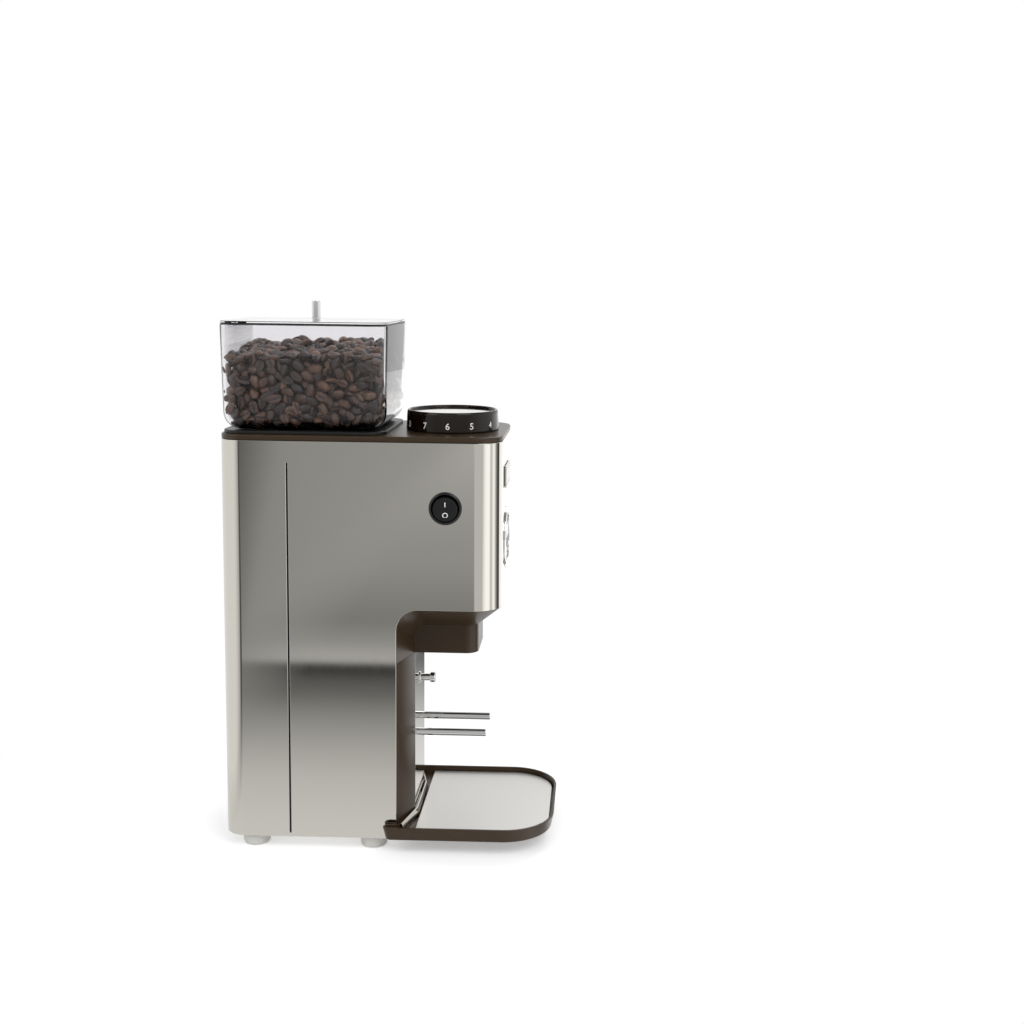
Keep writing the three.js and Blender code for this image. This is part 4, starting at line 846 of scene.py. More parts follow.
def make_tray():
    low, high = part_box("tray")
    mat_low, mat_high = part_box("tray_mat")
    s = sizes()
    bm = bmesh.new()
    bottom = outline_face(bm, tray_corners(), low.z, steps=16)
    top = raise_face(bm, bottom, high.z)
    face_out(bm)
    middle = Vector((0, (low.y + high.y) / 2, 0))
    shrink = (1 - s.tray_draft / high.x, 1 - 2 * s.tray_draft / (high.y - low.y), 1)
    bmesh.ops.scale(bm, vec=shrink, verts=bottom.verts[:], space=Matrix.Translation(-middle))
    bottom_edges = bottom.edges[:]
    rim_edges = top.edges[:]
    bmesh.ops.inset_region(bm, faces=[top], thickness=s.tray_wall, use_even_offset=True)
    bmesh.ops.inset_region(bm, faces=[top], thickness=0.8 * MM, depth=mat_low.z - 0.3 * MM - high.z,
                           use_even_offset=True)
    round_edges(bm, bottom_edges, 1.6 * MM, 4)
    round_edges(bm, rim_edges, 0.55 * MM, 3)
    finished(bm, "tray_moulding", "tray", brown_moulding, ["tray"])

    bm = bmesh.new()
    front_radius = s.tray_radius - s.tray_draft - s.tray_wall
    corners = rectangle(mat_high.x, mat_low.y, mat_high.y, front_radius, 1.5 * MM)
    slab(bm, corners, mat_low.z, mat_high.z, steps=18)
    round_edges(bm, level_edges(bm, mat_high.z), 0.5 * MM, 3)
    finished(bm, "tray_mat_sheet", "tray_mat", satin_steel, ["tray_mat"])


def make_trim():
    """The bent bright strip at the foot of the column, leaning back to a thin upper edge."""
    low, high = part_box("tray_trim")
    s = sizes()
    middle_y = -s.column_face - 0.9 * MM
    half = [Vector((-high.x, -11.1 * MM, low.z)), Vector((-s.column_half, middle_y, low.z))]
    bm = bmesh.new()
    back = mirrored(half)
    front = [p + Vector((0, -2.9 * MM, 0)) for p in back]
    top_back = [Vector((p.x, p.y, high.z)) for p in back]
    top_front = [Vector((p.x, p.y + 1.8 * MM, high.z)) for p in front]
    loops = [strung(bm, path) for path in (back, top_back, top_front, front)]
    for a, b in zip(loops, loops[1:] + loops[:1]):
        bmesh.ops.bridge_loops(bm, edges=a + b)
    bmesh.ops.holes_fill(bm, edges=[e for e in bm.edges if e.is_boundary])
    face_out(bm)
    finished(bm, "tray_trim_strip", "tray", polished_steel, ["tray_trim"], bevel=0.4 * MM)


class GRINDER_OT_tray(bpy.types.Operator):
    """Builds the pull-off tray, its mat and the strip behind it"""

    bl_idname = "grinder.tray"
    bl_label = "Tray"

    def execute(self, context):
        make_tray()
        make_trim()
        return {"FINISHED"}


# ---------------------------------------------------------------- hopper
def hopper_corners(inset=0.0):
    low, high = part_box("hopper_body")
    s = sizes()
    return rectangle(high.x, low.y, high.y, s.hopper_corner, s.hopper_corner, inset)


def make_hopper():
    low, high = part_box("hopper_body")
    base_low, base_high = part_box("hopper_base")
    s = sizes()
    floor_z = base_high.z + 0.3 * MM
    bm = bmesh.new()
    top = slab(bm, hopper_corners(s.hopper_draft), floor_z, high.z, steps=18)
    middle_y = (low.y + high.y) / 2
    wide = high.x / (high.x - s.hopper_draft)
    deep = (high.y - middle_y) / (high.y - middle_y - s.hopper_draft)
    bmesh.ops.scale(bm, vec=(wide, deep, 1), verts=top.verts[:], space=Matrix.Translation((0, -middle_y, 0)))
    bmesh.ops.delete(bm, geom=[top], context="FACES_ONLY")
    round_edges(bm, level_edges(bm, floor_z), s.hopper_floor, 12)
    face_out(bm)
    floor = min(bm.faces, key=lambda f: f.calc_center_median().z)
    if floor.normal.z > 0:
        bmesh.ops.reverse_faces(bm, faces=bm.faces[:])
    piece = finished(bm, "hopper_bowl", "hopper", clear_plastic, ["hopper_body"],
                     weighted=False)
    walled(piece, s.hopper_wall, 0.5 * MM, segments=3, edge_angle=50, even=True)

    bm = bmesh.new()
    slab(bm, rectangle(base_high.x, base_low.y, base_high.y, s.hopper_corner, s.hopper_corner),
         base_low.z, base_high.z, steps=18)
    round_edges(bm, level_edges(bm, base_high.z), 0.6 * MM, 3)
    finished(bm, "hopper_foot_plate", "hopper", black_moulding, ["hopper_base"])


def make_lid():
    low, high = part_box("hopper_lid")
    seal = 1.3 * MM
    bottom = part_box("hopper_body")[1].z + 0.1 * MM
    bm = bmesh.new()
    slab(bm, hopper_corners(0.2 * MM), bottom + seal, high.z, steps=18)
    round_edges(bm, level_edges(bm, high.z), 0.5 * MM, 3)
    finished(bm, "lid_plate", "lid", clear_plastic, ["hopper_lid"])
    bm = bmesh.new()
    top = slab(bm, hopper_corners(0.2 * MM), bottom, bottom + seal, steps=18)
    floor = min(bm.faces, key=lambda f: f.calc_center_median().z)
    for face in (top, floor):
        bmesh.ops.inset_region(bm, faces=[face], thickness=0.8 * MM, use_even_offset=True)
    bmesh.ops.bridge_loops(bm, edges=top.edges[:] + floor.edges[:])
    bmesh.ops.delete(bm, geom=[top, floor], context="FACES_ONLY")
    face_out(bm)
    finished(bm, "lid_seal", "lid", black_moulding, (), weighted=False)
    plate_top = high.z
    low, high, centre = placed("lid_knob")
    bm = bmesh.new()
    rounded_rod(bm, Vector((centre.x, centre.y, plate_top + 0.1 * MM)), Vector((centre.x, centre.y, high.z)),
                (high.x - low.x) / 2, 0.7 * MM)
    finished(bm, "lid_pin", "lid", bright_chrome, ["lid_knob"])
    paint(bright_chrome, "lid_nut")


class GRINDER_OT_hopper(bpy.types.Operator):
    """Builds the clear hopper, its foot plate and its lid"""

    bl_idname = "grinder.hopper"
    bl_label = "Hopper and lid"

    def execute(self, context):
        make_hopper()
        make_lid()
        return {"FINISHED"}


# ---------------------------------------------------------------- beans
def bean_mesh():
    """One low bean: half round on its back, flat in front, with a crease along the flat side."""
    s = sizes()
    bm = bmesh.new()
    bmesh.ops.create_uvsphere(bm, u_segments=12, v_segments=6, radius=1)
    bmesh.ops.rotate(bm, matrix=Matrix.Rotation(math.pi / 2, 3, "Y"), verts=bm.verts[:])
    bmesh.ops.rotate(bm, matrix=Matrix.Rotation(math.pi / 2, 3, "X"), verts=bm.verts[:])
    crease = {}
    for vert in bm.verts:
        flat = vert.co.z < -0.05
        vert.co.x *= s.bean_length / 2
        on_line = abs(vert.co.y) < 0.12
        vert.co.y *= s.bean_width / 2
        vert.co.z *= s.bean_height * (0.28 if flat else 0.72)
        crease[vert.index] = 0.0
        if flat and on_line:
            vert.co.z += 0.9 * MM * (1 - (2 * vert.co.x / s.bean_length) ** 2)
            crease[vert.index] = 1.0
    mesh = bpy.data.meshes.new("bean")
    bm.to_mesh(mesh)
    bm.free()
    # The crease weights mark the line that the bean material darkens as painted shade.
    mesh.attributes.new("crease", "FLOAT", "POINT").data.foreach_set(
        "value", [crease.get(i, 0.0) for i in range(len(mesh.vertices))])
    mesh.attributes.new("roast", "FLOAT", "POINT")
    return mesh


class HopperRoom:
    """The hopper's inside as a rounded box that is open at the top."""

    def __init__(self):
        s = sizes()
        low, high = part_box("hopper_body")
        base_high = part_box("hopper_base")[1]
        self.radius = s.hopper_floor - s.hopper_wall
        self.centre_y = (low.y + high.y) / 2
        self.half_x = high.x - s.hopper_wall - s.hopper_draft
        self.half_y = (high.y - low.y) / 2 - s.hopper_wall - s.hopper_draft
        self.floor = base_high.z + 0.3 * MM + s.hopper_wall
        self.lean = s.hopper_draft / (high.z - self.floor)
        self.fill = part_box("bean_fill")[1].z

    def depth(self, p):
        """How far inside the walls a point is, and the direction away from the nearest wall."""
        spread = self.lean * max(p.z - self.floor, 0)
        q = Vector((abs(p.x) - (self.half_x + spread - self.radius),
                    abs(p.y - self.centre_y) - (self.half_y + spread - self.radius),
                    self.floor + self.radius - p.z))
        beyond = Vector([max(c, 0) for c in q])
        signs = Vector((-math.copysign(1, p.x), -math.copysign(1, p.y - self.centre_y), 1))
        if beyond.length > 0:
            away = Vector([a * b for a, b in zip(beyond, signs)]).normalized()
            return self.radius - beyond.length, away
        axis = max(range(3), key=lambda i: q[i])
        away = Vector([signs[i] if i == axis else 0 for i in range(3)])
        return self.radius - q[axis], away

    def surface(self, x, y):
        """Height of the heap over a point: higher in the middle, uneven by about a bean."""
        rise = 1 - (x / self.half_x) ** 2 * 0.5 - ((y - self.centre_y) / self.half_y) ** 2 * 0.5
        rough = noise.noise(Vector((x, y, 0)) / (16 * MM)) * 2.6 * MM
        return self.fill - 1.5 * MM + 3 * MM * rise + rough


def bean_places(room, rng):
    """Middles of beans near the walls and the top, no two nearer than the spacing."""
    half_x, half_y = room.half_x, room.half_y
    spacing = sizes().bean_spacing
    top = room.fill + 4 * MM
    cells, found = {}, []
    for _ in range(BEAN_TRIES):
        p = Vector((rng.uniform(-half_x, half_x), room.centre_y + rng.uniform(-half_y, half_y),
                    rng.uniform(room.floor, top)))
        inside, away = room.depth(p)
        under = room.surface(p.x, p.y) - p.z
        if inside < 2 * MM or under < 0 or min(inside, under) > HEAP_DEPTH:
            continue
        key = tuple(int(c // spacing) for c in p)
        near = (other for dx in (-1, 0, 1) for dy in (-1, 0, 1) for dz in (-1, 0, 1)
                for other in cells.get((key[0] + dx, key[1] + dy, key[2] + dz), ()))
        if any((p - other).length < spacing for other in near):
            continue
        cells.setdefault(key, []).append(p)
        found.append((p, inside, away, under))
    return found


def bean_turn(rng, toward, share):
    """A random turn whose crease side faces a direction for most beans."""
    facing = -toward if rng.random() < CREASE_SHARE else toward
    wild = Vector((rng.gauss(0, 1), rng.gauss(0, 1), rng.gauss(0, 1))).normalized()
    normal = (facing * share + wild * (1 - share)).normalized()
    spin = Matrix.Rotation(rng.uniform(0, 2 * math.pi), 3, "Z")
    return UP.rotation_difference(normal).to_matrix() @ spin


def make_beans():
    s = sizes()
    rng = random.Random(BEAN_SEED)
    room = HopperRoom()
    half = Vector((s.bean_length, s.bean_width, s.bean_height)) / 2
    template = bean_mesh()
    bm = bmesh.new()
    roast = template.attributes["roast"].data
    for p, inside, away, under in bean_places(room, rng):
        near_top = under < inside
        turn = bean_turn(rng, UP if near_top else away, rng.uniform(0.45, 0.9))
        size = rng.uniform(0.88, 1.06)
        for _ in range(2):
            inside, away = room.depth(p)
            local = turn.transposed() @ away
            reach = math.sqrt(sum((a * b) ** 2 for a, b in zip(local, half))) * size + 0.35 * MM
            if inside < reach:
                p = p + away * (reach - inside)
        place = Matrix.Translation(p) @ turn.to_4x4() @ Matrix.Scale(size, 4)
        bean = template.copy()
        bean.transform(place)
        bean.attributes["roast"].data.foreach_set("value", [rng.random() ** 1.9] * len(roast))
        bm.from_mesh(bean)
        bpy.data.meshes.remove(bean)
    bpy.data.meshes.remove(template)
    piece = finished(bm, "coffee_beans", "hopper", roasted_bean, ["bean_fill"],
                     weighted=False)
    piece.data.set_sharp_from_angle(angle=math.pi)


def make_bean_core():
    """The heart of the heap, behind the beans that show: a block for the inner beans, whose darkest-roast
    colour is painted shade for the gaps between them.
    """
    room = HopperRoom()
    back_off = 10 * MM
    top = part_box("bean_fill")[1].z - back_off
    bm = bmesh.new()
    corners = rectangle(room.half_x, room.centre_y - room.half_y, room.centre_y + room.half_y,
                        room.radius, room.radius, back_off)
    slab(bm, corners, room.floor + back_off * 0.5, top)
    round_edges(bm, level_edges(bm, top), 3 * MM, 4)
    # Painted shade: the block has no roast attribute, so it takes the darkest bean colour.
    finished(bm, "bean_heap_core", "hopper", roasted_bean, ())


class GRINDER_OT_beans(bpy.types.Operator):
    """Fills the hopper with coffee beans"""

    bl_idname = "grinder.beans"
    bl_label = "Beans"

    def execute(self, context):
        make_beans()
        make_bean_core()
        return {"FINISHED"}


# ---------------------------------------------------------------- dial
def text_mesh(body, height, depth):
    """A word as a flat-backed mesh of a given cap height, centred on the origin, facing +Z."""
    curve = bpy.data.curves.new("figure", "FONT")
    curve.body = body
    curve.align_x = "CENTER"
    curve.align_y = "CENTER"
    curve.size = height / 0.72
    curve.extrude = depth / 2
    curve.resolution_u = 4
    curve.offset = 0.015 * curve.size
    holder = bpy.data.objects.new("figure", curve)
    bpy.context.scene.collection.objects.link(holder)
    graph = bpy.context.evaluated_depsgraph_get()
    mesh = bpy.data.meshes.new_from_object(holder.evaluated_get(graph), depsgraph=graph)
    bpy.data.objects.remove(holder)
    bpy.data.curves.remove(curve)
    return mesh


def make_dial():
    low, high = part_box("grind_dial")
    disc_low, disc_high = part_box("dial_disc")
    centre = (low + high) / 2
    centre.z = low.z
    radius = (high.x - low.x) / 2
    height = high.z - low.z
    inner = (disc_high.x - disc_low.x) / 2 + 0.3 * MM
    ledge = disc_low.z - 0.3 * MM - low.z
    profile = [
        (0, 2.5 * MM), (inner, 2.5 * MM), (inner, 0), (radius - 0.5 * MM, 0), (radius - 0.15 * MM, 0.15 * MM),
        (radius, 0.5 * MM), (radius, 1.2 * MM), (radius - 0.6 * MM, height - 2.6 * MM),
        (radius - 0.75 * MM, height - 1.2 * MM), (radius - 1.1 * MM, height - 0.4 * MM),
        (radius - 1.6 * MM, height), (radius - 2.2 * MM, height), (inner + 0.5 * MM, height - 0.3 * MM),
        (inner + 0.1 * MM, height - 0.9 * MM), (inner, height - 1.6 * MM), (inner, ledge), (0, ledge)]
    bm = bmesh.new()
    turned(bm, profile, centre, steps=144)
    finished(bm, "dial_ring", "dial", brown_gloss, ["grind_dial"])

    bm = bmesh.new()
    thick = disc_high.z - disc_low.z + DISC_RISE
    flat = (disc_high.x - disc_low.x) / 2
    turned(bm, [(0, 0), (flat, 0), (flat, thick - 0.4 * MM), (flat - 0.4 * MM, thick), (0, thick)],
           Vector((centre.x, centre.y, disc_low.z)), steps=144)
    finished(bm, "dial_mirror", "dial", polished_steel, ["dial_disc"])

    bm = bmesh.new()
    for number in range(1, FIGURE_COUNT + 1):
        facing = math.pi + (FIGURE_SHOWN - number) * 2 * math.pi / FIGURE_COUNT
        figure = text_mesh(str(number), sizes().numeral_height, 0.12 * MM)
        for vert in figure.vertices:
            x, y, z = vert.co
            angle = facing + x / radius
            rise = (FIGURE_HEIGHT + y - 1.2 * MM) / (height - 3.8 * MM)
            reach = radius - 0.6 * MM * rise + z
            vert.co = (centre.x + reach * math.cos(angle), centre.y + reach * math.sin(angle),
                       centre.z + FIGURE_HEIGHT + y)
        bm.from_mesh(figure)
        bpy.data.meshes.remove(figure)
    bmesh.ops.remove_doubles(bm, verts=bm.verts[:], dist=WELD)
    finished(bm, "dial_figures", "dial", white_print, (), weighted=False)
    paint(bright_chrome, "dial_spindle")


class GRINDER_OT_dial(bpy.types.Operator):
    """Builds the grind dial with its twelve figures"""

    bl_idname = "grinder.dial"
    bl_label = "Grind dial"

    def execute(self, context):
        make_dial()
        return {"FINISHED"}


# ---------------------------------------------------------------- switch
def make_switch():
    low, high, centre = placed("switch_housing")
    face = Vector((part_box("body_shell")[0].x, centre.y, centre.z))
    outer = (high.z - low.z) / 2
    bore = 10.9 * MM
    proud = 1.6 * MM
    depth = high.x - face.x
    profile = [
        (0, depth - 3 * MM), (bore, depth - 3 * MM), (bore, -proud + 0.5 * MM),
        (bore + 0.3 * MM, -proud + 0.1 * MM), (bore + 0.8 * MM, -proud),
        (outer - 0.7 * MM, -proud + 0.35 * MM), (outer - 0.15 * MM, -proud + 0.8 * MM), (outer, -0.3 * MM),
        (bore + 0.5 * MM, -0.3 * MM), (bore + 0.5 * MM, depth), (0, depth)]
    bm = bmesh.new()
    turned(bm, profile, face, ALONG_X)
    finished(bm, "switch_surround", "casing", black_moulding, ["switch_housing"])

    rocker_joint = next(j for j in frame["joints"] if j["name"] == "rocker_tilt")
    pivot = Vector(rocker_joint["pos_m"])
    tilt = -math.radians(rocker_joint["range_deg"][1]) / 2
    turn = Matrix.Rotation(tilt, 4, "Y")
    reach, crown = 9.95 * MM, 7.0 * MM
    bm = bmesh.new()
    profile = [
        (0, -crown + 0.5 * MM), (reach * 0.5, -crown + 0.35 * MM), (reach - 1.2 * MM, -crown),
        (reach - 0.4 * MM, -crown + 0.25 * MM), (reach, -crown + 0.9 * MM), (reach, 1.5 * MM), (0, 1.5 * MM)]
    turned(bm, profile, Vector(), ALONG_X)
    bmesh.ops.transform(bm, matrix=Matrix.Translation(pivot) @ turn, verts=bm.verts[:])
    finished(bm, "switch_button", "switch_rocker", black_moulding, ["switch_rocker"])

    bm = bmesh.new()
    bar = box_block(bm, (-0.35 * MM, -2.1 * MM, -0.06 * MM), (0.35 * MM, 2.1 * MM, 0.06 * MM))
    bmesh.ops.translate(bm, vec=(0, 4.4 * MM, 0), verts=bar)
    ring = bmesh.ops.create_circle(bm, cap_ends=True, segments=48, radius=2.15 * MM)["verts"]
    disc = next(f for f in bm.faces if all(v in ring for v in f.verts))
    band = bmesh.ops.inset_region(bm, faces=[disc], thickness=0.62 * MM, use_boundary=True)["faces"]
    bmesh.ops.delete(bm, geom=[disc], context="FACES_ONLY")
    made = bmesh.ops.extrude_face_region(bm, geom=band)["geom"]
    lifted = new_verts(made)
    bmesh.ops.translate(bm, vec=(0, 0, 0.12 * MM), verts=lifted)
    circle = set(ring) | set(lifted) | {v for f in band if f.is_valid for v in f.verts}
    bmesh.ops.translate(bm, vec=(0, -4.4 * MM, -0.06 * MM), verts=list(circle))
    face_out(bm)
    upright = Matrix(((0, 0, -1, -crown + 0.3 * MM), (-1, 0, 0, 0), (0, 1, 0, 0), (0, 0, 0, 1)))
    bmesh.ops.transform(bm, matrix=Matrix.Translation(pivot) @ turn @ upright, verts=bm.verts[:])
    finished(bm, "switch_marks", "switch_rocker", white_print, (), weighted=False)


class GRINDER_OT_switch(bpy.types.Operator):
    """Builds the round rocker switch with its on and off marks"""

    bl_idname = "grinder.switch"
    bl_label = "Rocker switch"

    def execute(self, context):
        make_switch()
        return {"FINISHED"}


# ---------------------------------------------------------------- display and badge
def make_display():
    low, high, centre = placed("display_bezel")
    front = Vector((0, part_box("body_shell")[0].y, centre.z))
    outer = (high.x - low.x) / 2
    plate = (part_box("display_face")[1].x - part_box("display_face")[0].x) / 2
    bore = plate + 0.3 * MM
    profile = [
        (bore, 8 * MM), (bore, -0.6 * MM), (bore + 0.3 * MM, -1.2 * MM), (bore + 1.0 * MM, -1.55 * MM),
        (outer - 1.2 * MM, -1.6 * MM), (outer - 0.3 * MM, -1.2 * MM), (outer, -0.7 * MM), (outer, -0.3 * MM),
        (bore + 1.6 * MM, -0.3 * MM), (bore + 1.6 * MM, 8 * MM), (bore, 8 * MM)]
    bm = bmesh.new()
    turned(bm, profile, front, ALONG_Y, 128)
    finished(bm, "display_ring", "casing", bright_chrome, ["display_bezel"])

    bm = bmesh.new()
    profile = [(0, -0.8 * MM), (plate - 0.8 * MM, -0.8 * MM), (plate - 0.2 * MM, -0.6 * MM),
               (plate, -0.1 * MM), (plate, 2.9 * MM), (0, 2.9 * MM)]
    turned(bm, profile, front, ALONG_Y, 128)
    face = finished(bm, "display_plate", "casing", black_moulding, ["display_face"])
    for name in ("minus_button", "plus_button"):
        key = placed(name)[2]
        cut(face, round_hole(Vector((key.x, front.y, key.z)), ALONG_Y, KEY_HOLE, 12 * MM))

    screen_low, screen_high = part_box("display_screen")
    bm = bmesh.new()
    box_block(bm, screen_low + Vector((0, -0.35 * MM, 0)), screen_high)
    finished(bm, "display_window", "casing", screen_glass, ["display_screen"], bevel=0.3 * MM)

    for name, sign in (("minus_button", False), ("plus_button", True)):
        key_low, _, key = placed(name)
        tip = Vector((key.x, key_low.y, key.z))
        bm = bmesh.new()
        profile = [(0, 0.15 * MM), (2.6 * MM, 0.05 * MM), (3.6 * MM, 0), (4.05 * MM, 0.2 * MM),
                   (4.2 * MM, 0.6 * MM), (4.2 * MM, 4.6 * MM), (5.4 * MM, 4.7 * MM), (5.4 * MM, 5.9 * MM),
                   (0, 5.9 * MM)]
        turned(bm, profile, tip, ALONG_Y, 64)
        finished(bm, name + "_cap", name, satin_steel, [name])
        bm = bmesh.new()
        arm, half = 2.0 * MM, 0.3 * MM
        proud = tip.y - 0.02 * MM
        box_block(bm, (key.x - arm, proud, key.z - half), (key.x + arm, proud + 0.3 * MM, key.z + half))
        if sign:
            for z0, z1 in ((half, arm), (-arm, -half)):
                box_block(bm, (key.x - half, proud, key.z + z0), (key.x + half, proud + 0.3 * MM, key.z + z1))
        finished(bm, name + "_mark", name, black_moulding, (), weighted=False)


def make_badge():
    low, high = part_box("badge_plate")
    bm = bmesh.new()
    box_block(bm, low, high)
    upright = [e for e in bm.edges if abs((e.verts[0].co - e.verts[1].co).normalized().y) > 0.9]
    round_edges(bm, upright, 3 * MM, 6)
    finished(bm, "badge_blank", "casing", satin_steel, ["badge_plate"], bevel=0.25 * MM)
    bm = bmesh.new()
    inset, line = 2.2 * MM, 0.9 * MM
    y0, y1 = low.y - 0.08 * MM, low.y + 0.2 * MM
    for z in (low.z + inset, high.z - inset - line):
        box_block(bm, (low.x + inset, y0, z), (high.x - inset, y1, z + line))
    finished(bm, "badge_lines", "casing", red_enamel, (), weighted=False)


class GRINDER_OT_display(bpy.types.Operator):
    """Builds the round display, its two buttons and the plain badge"""

    bl_idname = "grinder.display"
    bl_label = "Display and badge"

    def execute(self, context):
        make_display()
        make_badge()
        return {"FINISHED"}


# ---------------------------------------------------------------- works inside
class GRINDER_OT_works(bpy.types.Operator):
    """Finishes the motor, the mill and the electrics inside the casing"""

    bl_idname = "grinder.works"
    bl_label = "Works inside"

    def execute(self, context):
        finishes = {
            cast_metal: [
                "fork_bracket", "burr_chamber", "burr_yoke", "motor_can", "motor_stator", "motor_rotor"],
            satin_steel: [
                "switch_bracket", "motor_deck", "burr_hub", "lower_burr", "upper_burr", "motor_shaft"],
            bright_chrome: ["bearing_lower", "bearing_upper"],
            black_moulding: ["start_switch", "grounds_duct", "capacitor"],
            board_laminate: ["control_board"],
        }
        for maker, nodes in finishes.items():
            paint(maker, *nodes)
        return {"FINISHED"}


# ---------------------------------------------------------------- stage
def floor_material():
    """Pale studio floor. Metal sees it as a light pool round the machine, a dark line, then grey."""
    made = bpy.data.materials.new("studio_floor")
    tree = emptied(made)
    path = add_node(tree, "ShaderNodeLightPath").outputs
    place = add_node(tree, "ShaderNodeTexCoord").outputs["Object"]
    split = add_node(tree, "ShaderNodeSeparateXYZ", {"Vector": place}).outputs
    low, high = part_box("body_shell")
    across = add_node(tree, "ShaderNodeMath", {0: split["X"]}, operation="ABSOLUTE")
    side = add_node(tree, "ShaderNodeMath", {0: across, 1: high.x}, operation="SUBTRACT")
    behind = add_node(tree, "ShaderNodeMath", {0: split["Y"], 1: high.y}, operation="SUBTRACT")
    reach = add_node(tree, "ShaderNodeMath", {0: side, 1: behind}, operation="MAXIMUM")
    share = add_node(tree, "ShaderNodeMapRange", {"Value": reach, "From Max": FLOOR_REACH})
    pool = add_node(tree, "ShaderNodeValToRGB", {"Fac": share}, stops=greys(
        (0.0, 0.9), (0.019, 0.86), (0.05, 0.75), (0.106, 0.39), (0.131, 0.21), (0.15, 0.13), (0.161, 0.045),
        (0.169, 0.045), (0.174, 0.64), (0.181, 0.59), (0.205, 0.41), (0.235, 0.3), (0.344, 0.42),
        (0.52, 0.49), (0.7, 0.56), (0.9, 0.62)))
    rear_slope = add_node(tree, "ShaderNodeMath", {0: behind, 1: across}, operation="DIVIDE")
    rear_strip = add_node(tree, "ShaderNodeValToRGB", {"Fac": rear_slope}, stops=greys(
        (0.0, 0.5), (0.22, 0.4), (0.28, 0.1), (0.36, 0.1), (0.44, 0.55), (0.7, 0.85), (1.0, 1.0)))
    rear = add_node(tree, "ShaderNodeMapRange", {"Value": behind, "From Min": 0.04, "From Max": 0.16})
    sides = add_node(tree, "ShaderNodeMixRGB", {"Fac": rear, "Color1": pool, "Color2": rear_strip})
    front = add_node(tree, "ShaderNodeMapRange", {
        "Value": split["Y"], "From Min": low.y, "From Max": low.y - 0.05})
    slope = add_node(tree, "ShaderNodeMath", {0: split["X"], 1: split["Y"]}, operation="DIVIDE")
    bearing = add_node(tree, "ShaderNodeMapRange", {"Value": slope, "From Min": -1.0, "From Max": 2.0})
    strip = add_node(tree, "ShaderNodeValToRGB", {"Fac": bearing}, stops=greys(
        (0.0, 1.4), (0.12, 1.4), (0.15, 0.06), (0.22, 0.1), (0.27, 0.36), (0.3, 0.75), (0.34, 1.45),
        (0.375, 1.4), (0.41, 0.85), (0.45, 0.9), (0.49, 1.55), (0.6, 1.5), (0.73, 1.05), (0.78, 0.74),
        (1.0, 0.74)))
    mixed = add_node(tree, "ShaderNodeMixRGB", {"Fac": front, "Color1": sides, "Color2": strip})
    mirror = add_node(tree, "ShaderNodeEmission", {"Color": mixed})
    white = add_node(tree, "ShaderNodeEmission", {"Color": grey(1.0)})
    matt = add_node(tree, "ShaderNodeBsdfDiffuse", {"Color": colours().floor})
    lift = add_node(tree, "ShaderNodeEmission", {"Color": grey(1.0), "Strength": 0.35})
    seen = add_node(tree, "ShaderNodeAddShader", {0: matt, 1: lift})
    distance = add_node(tree, "ShaderNodeVectorMath", {0: place}, operation="LENGTH").outputs["Value"]
    away = add_node(tree, "ShaderNodeMapRange", {"Value": distance, "From Min": 0.2, "From Max": 0.42})
    backdrop = add_node(tree, "ShaderNodeMixShader", {0: away, 1: seen, 2: white})
    shown = matt
    for ray, look in (("Is Camera Ray", backdrop), ("Is Glossy Ray", mirror), ("Is Transmission Ray", white)):
        shown = add_node(tree, "ShaderNodeMixShader", {0: path[ray], 1: shown, 2: look})
    add_node(tree, "ShaderNodeOutputMaterial", {"Surface": shown})
    return made


def studio_world():
    """White background, soft even light, and a soft grey room for the metal to reflect."""
    world = bpy.data.worlds.new("studio")
    bpy.context.scene.world = world
    tree = emptied(world)
    path = add_node(tree, "ShaderNodeLightPath").outputs
    way = add_node(tree, "ShaderNodeTexCoord").outputs["Generated"]
    split = add_node(tree, "ShaderNodeSeparateXYZ", {"Vector": way}).outputs
    height = add_node(tree, "ShaderNodeMapRange", {"Value": split["Z"], "From Min": -1.0})
    side = add_node(tree, "ShaderNodeMapRange", {"Value": split["X"], "From Min": -0.75, "From Max": -0.15})
    room = add_node(tree, "ShaderNodeValToRGB", {"Fac": height}, stops=greys(
        (0.0, 0.05), (0.36, 0.2), (0.44, 0.4), (0.5, 0.56), (0.62, 0.7), (0.72, 0.55), (0.86, 0.4),
        (1.0, 0.3)))
    bright = add_node(tree, "ShaderNodeValToRGB", {"Fac": height}, stops=greys(
        (0.0, 0.35), (0.42, 0.9), (0.5, 1.05), (0.66, 1.05), (0.76, 0.6), (1.0, 0.3)))
    walls = add_node(tree, "ShaderNodeMixRGB", {"Fac": side, "Color1": room, "Color2": bright})
    mirror = add_node(tree, "ShaderNodeBackground", {"Color": walls})
    white = add_node(tree, "ShaderNodeBackground", {"Color": grey(1.0)})
    shown = add_node(tree, "ShaderNodeBackground", {"Color": linear("#f2f4f7"), "Strength": 0.62})
    for ray, look in (("Is Glossy Ray", mirror), ("Is Transmission Ray", white), ("Is Camera Ray", white)):
        shown = add_node(tree, "ShaderNodeMixShader", {0: path[ray], 1: shown, 2: look})
    add_node(tree, "ShaderNodeOutputWorld", {"Surface": shown})


def area_light(name, place, aim, size, watts):
    """A soft square lamp that points at a target."""
    lamp = bpy.data.lights.new(name, "AREA")
    lamp.shape = "SQUARE"
    lamp.size = size
    lamp.energy = watts
    holder = bpy.data.objects.new(name, lamp)
    holder.location = place
    holder.rotation_euler = (Vector(aim) - Vector(place)).to_track_quat("-Z", "Y").to_euler()
    bpy.context.scene.collection.objects.link(holder)


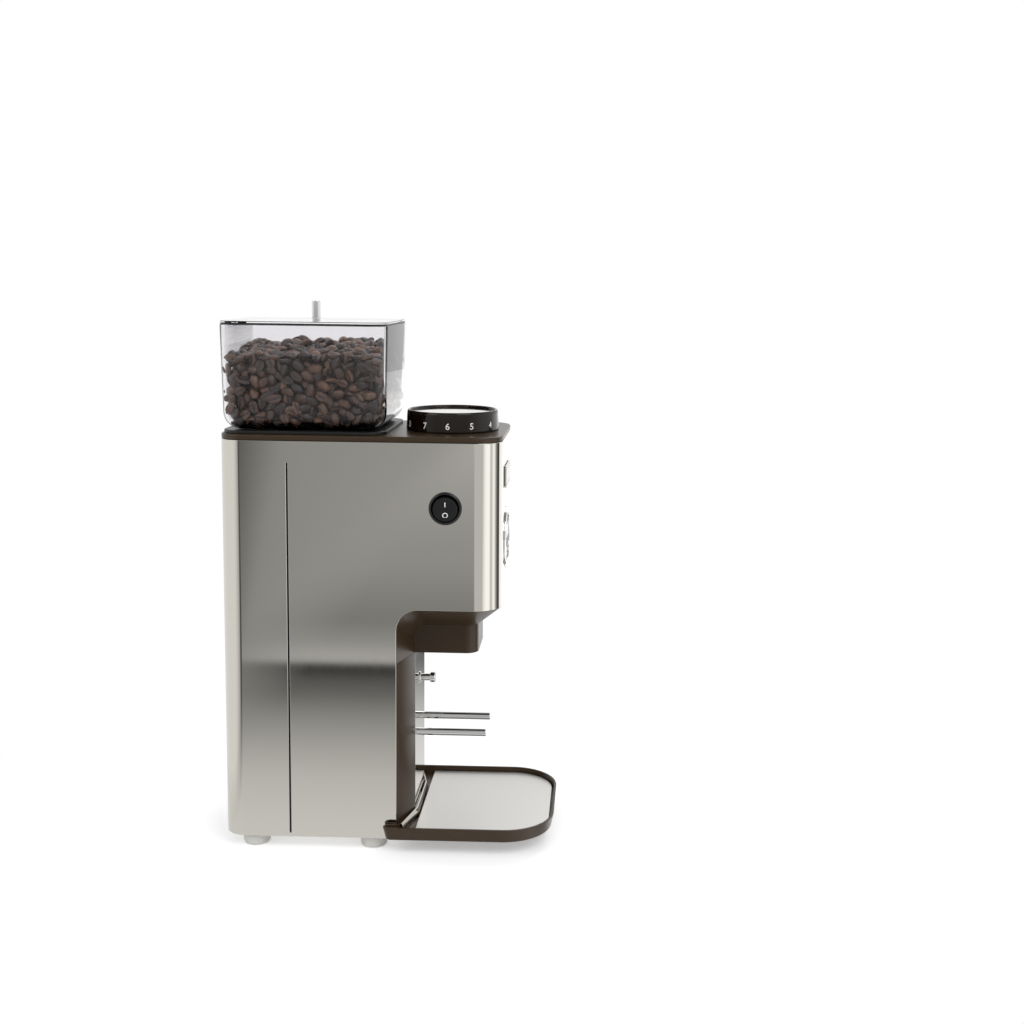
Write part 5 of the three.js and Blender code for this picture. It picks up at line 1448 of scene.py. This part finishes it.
def make_camera():
    """Camera level with the hopper on the switch side, looking slightly down."""
    data = bpy.data.cameras.new("view")
    data.sensor_width = 36
    data.lens = CAMERA_LENS
    data.shift_x, data.shift_y = CAMERA_SHIFT
    data.clip_start = 0.05
    data.clip_end = 20
    camera = bpy.data.objects.new("view", data)
    heading, dip, roll = CAMERA_HEADING, CAMERA_DIP, CAMERA_ROLL
    ahead = Vector((math.cos(heading) * math.cos(dip), -math.sin(heading) * math.cos(dip), -math.sin(dip)))
    right = Vector((-math.sin(heading), -math.cos(heading), 0))
    up = right.cross(ahead)
    leaned = right * math.cos(roll) + up * math.sin(roll)
    lifted = leaned.cross(ahead)
    turn = Matrix((leaned, lifted, -ahead)).transposed().to_4x4()
    camera.matrix_world = Matrix.Translation(CAMERA_PLACE) @ turn
    bpy.context.scene.collection.objects.link(camera)
    bpy.context.scene.camera = camera


class GRINDER_OT_stage(bpy.types.Operator):
    """Builds the floor, the studio light and the camera"""

    bl_idname = "grinder.stage"
    bl_label = "Studio"

    def execute(self, context):
        scene = context.scene
        scene.view_settings.view_transform = "Standard"
        bm = bmesh.new()
        bmesh.ops.create_grid(bm, x_segments=8, y_segments=8, size=FLOOR_HALF)
        mesh = bpy.data.meshes.new("floor")
        bm.to_mesh(mesh)
        bm.free()
        floor = bpy.data.objects.new("floor", mesh)
        mesh.materials.append(floor_material())
        scene.collection.objects.link(floor)
        studio_world()
        for name, settings in LAMPS.items():
            area_light(name, *settings)
        make_camera()
        return {"FINISHED"}


# ---------------------------------------------------------------- add-on
PIECES = (
    GRINDER_OT_stage, GRINDER_OT_casing, GRINDER_OT_feet, GRINDER_OT_fork, GRINDER_OT_tray, GRINDER_OT_hopper,
    GRINDER_OT_beans, GRINDER_OT_dial, GRINDER_OT_switch, GRINDER_OT_display, GRINDER_OT_works,
)


class GRINDER_PT_panel(bpy.types.Panel):
    """Lists the grinder's pieces, sizes and colours"""

    bl_idname = "GRINDER_PT_panel"
    bl_label = "Coffee Grinder"
    bl_space_type = "VIEW_3D"
    bl_region_type = "UI"
    bl_category = "Grinder"

    def draw(self, context):
        for piece in PIECES:
            self.layout.operator(piece.bl_idname)
        for group in (context.scene.grinder_sizes, context.scene.grinder_colours):
            box = self.layout.box()
            for name in group.__annotations__:
                box.prop(group, name)


CLASSES = (GrinderSizes, GrinderColours, *PIECES, GRINDER_PT_panel)


def register():
    for cls in CLASSES:
        bpy.utils.register_class(cls)
    bpy.types.Scene.grinder_sizes = bpy.props.PointerProperty(type=GrinderSizes)
    bpy.types.Scene.grinder_colours = bpy.props.PointerProperty(type=GrinderColours)


def unregister():
    del bpy.types.Scene.grinder_colours
    del bpy.types.Scene.grinder_sizes
    for cls in reversed(CLASSES):
        bpy.utils.unregister_class(cls)


def main():
    register()
    for piece in PIECES:
        group, name = piece.bl_idname.split(".")
        getattr(getattr(bpy.ops, group), name)()


if __name__ == "__main__":
    main()
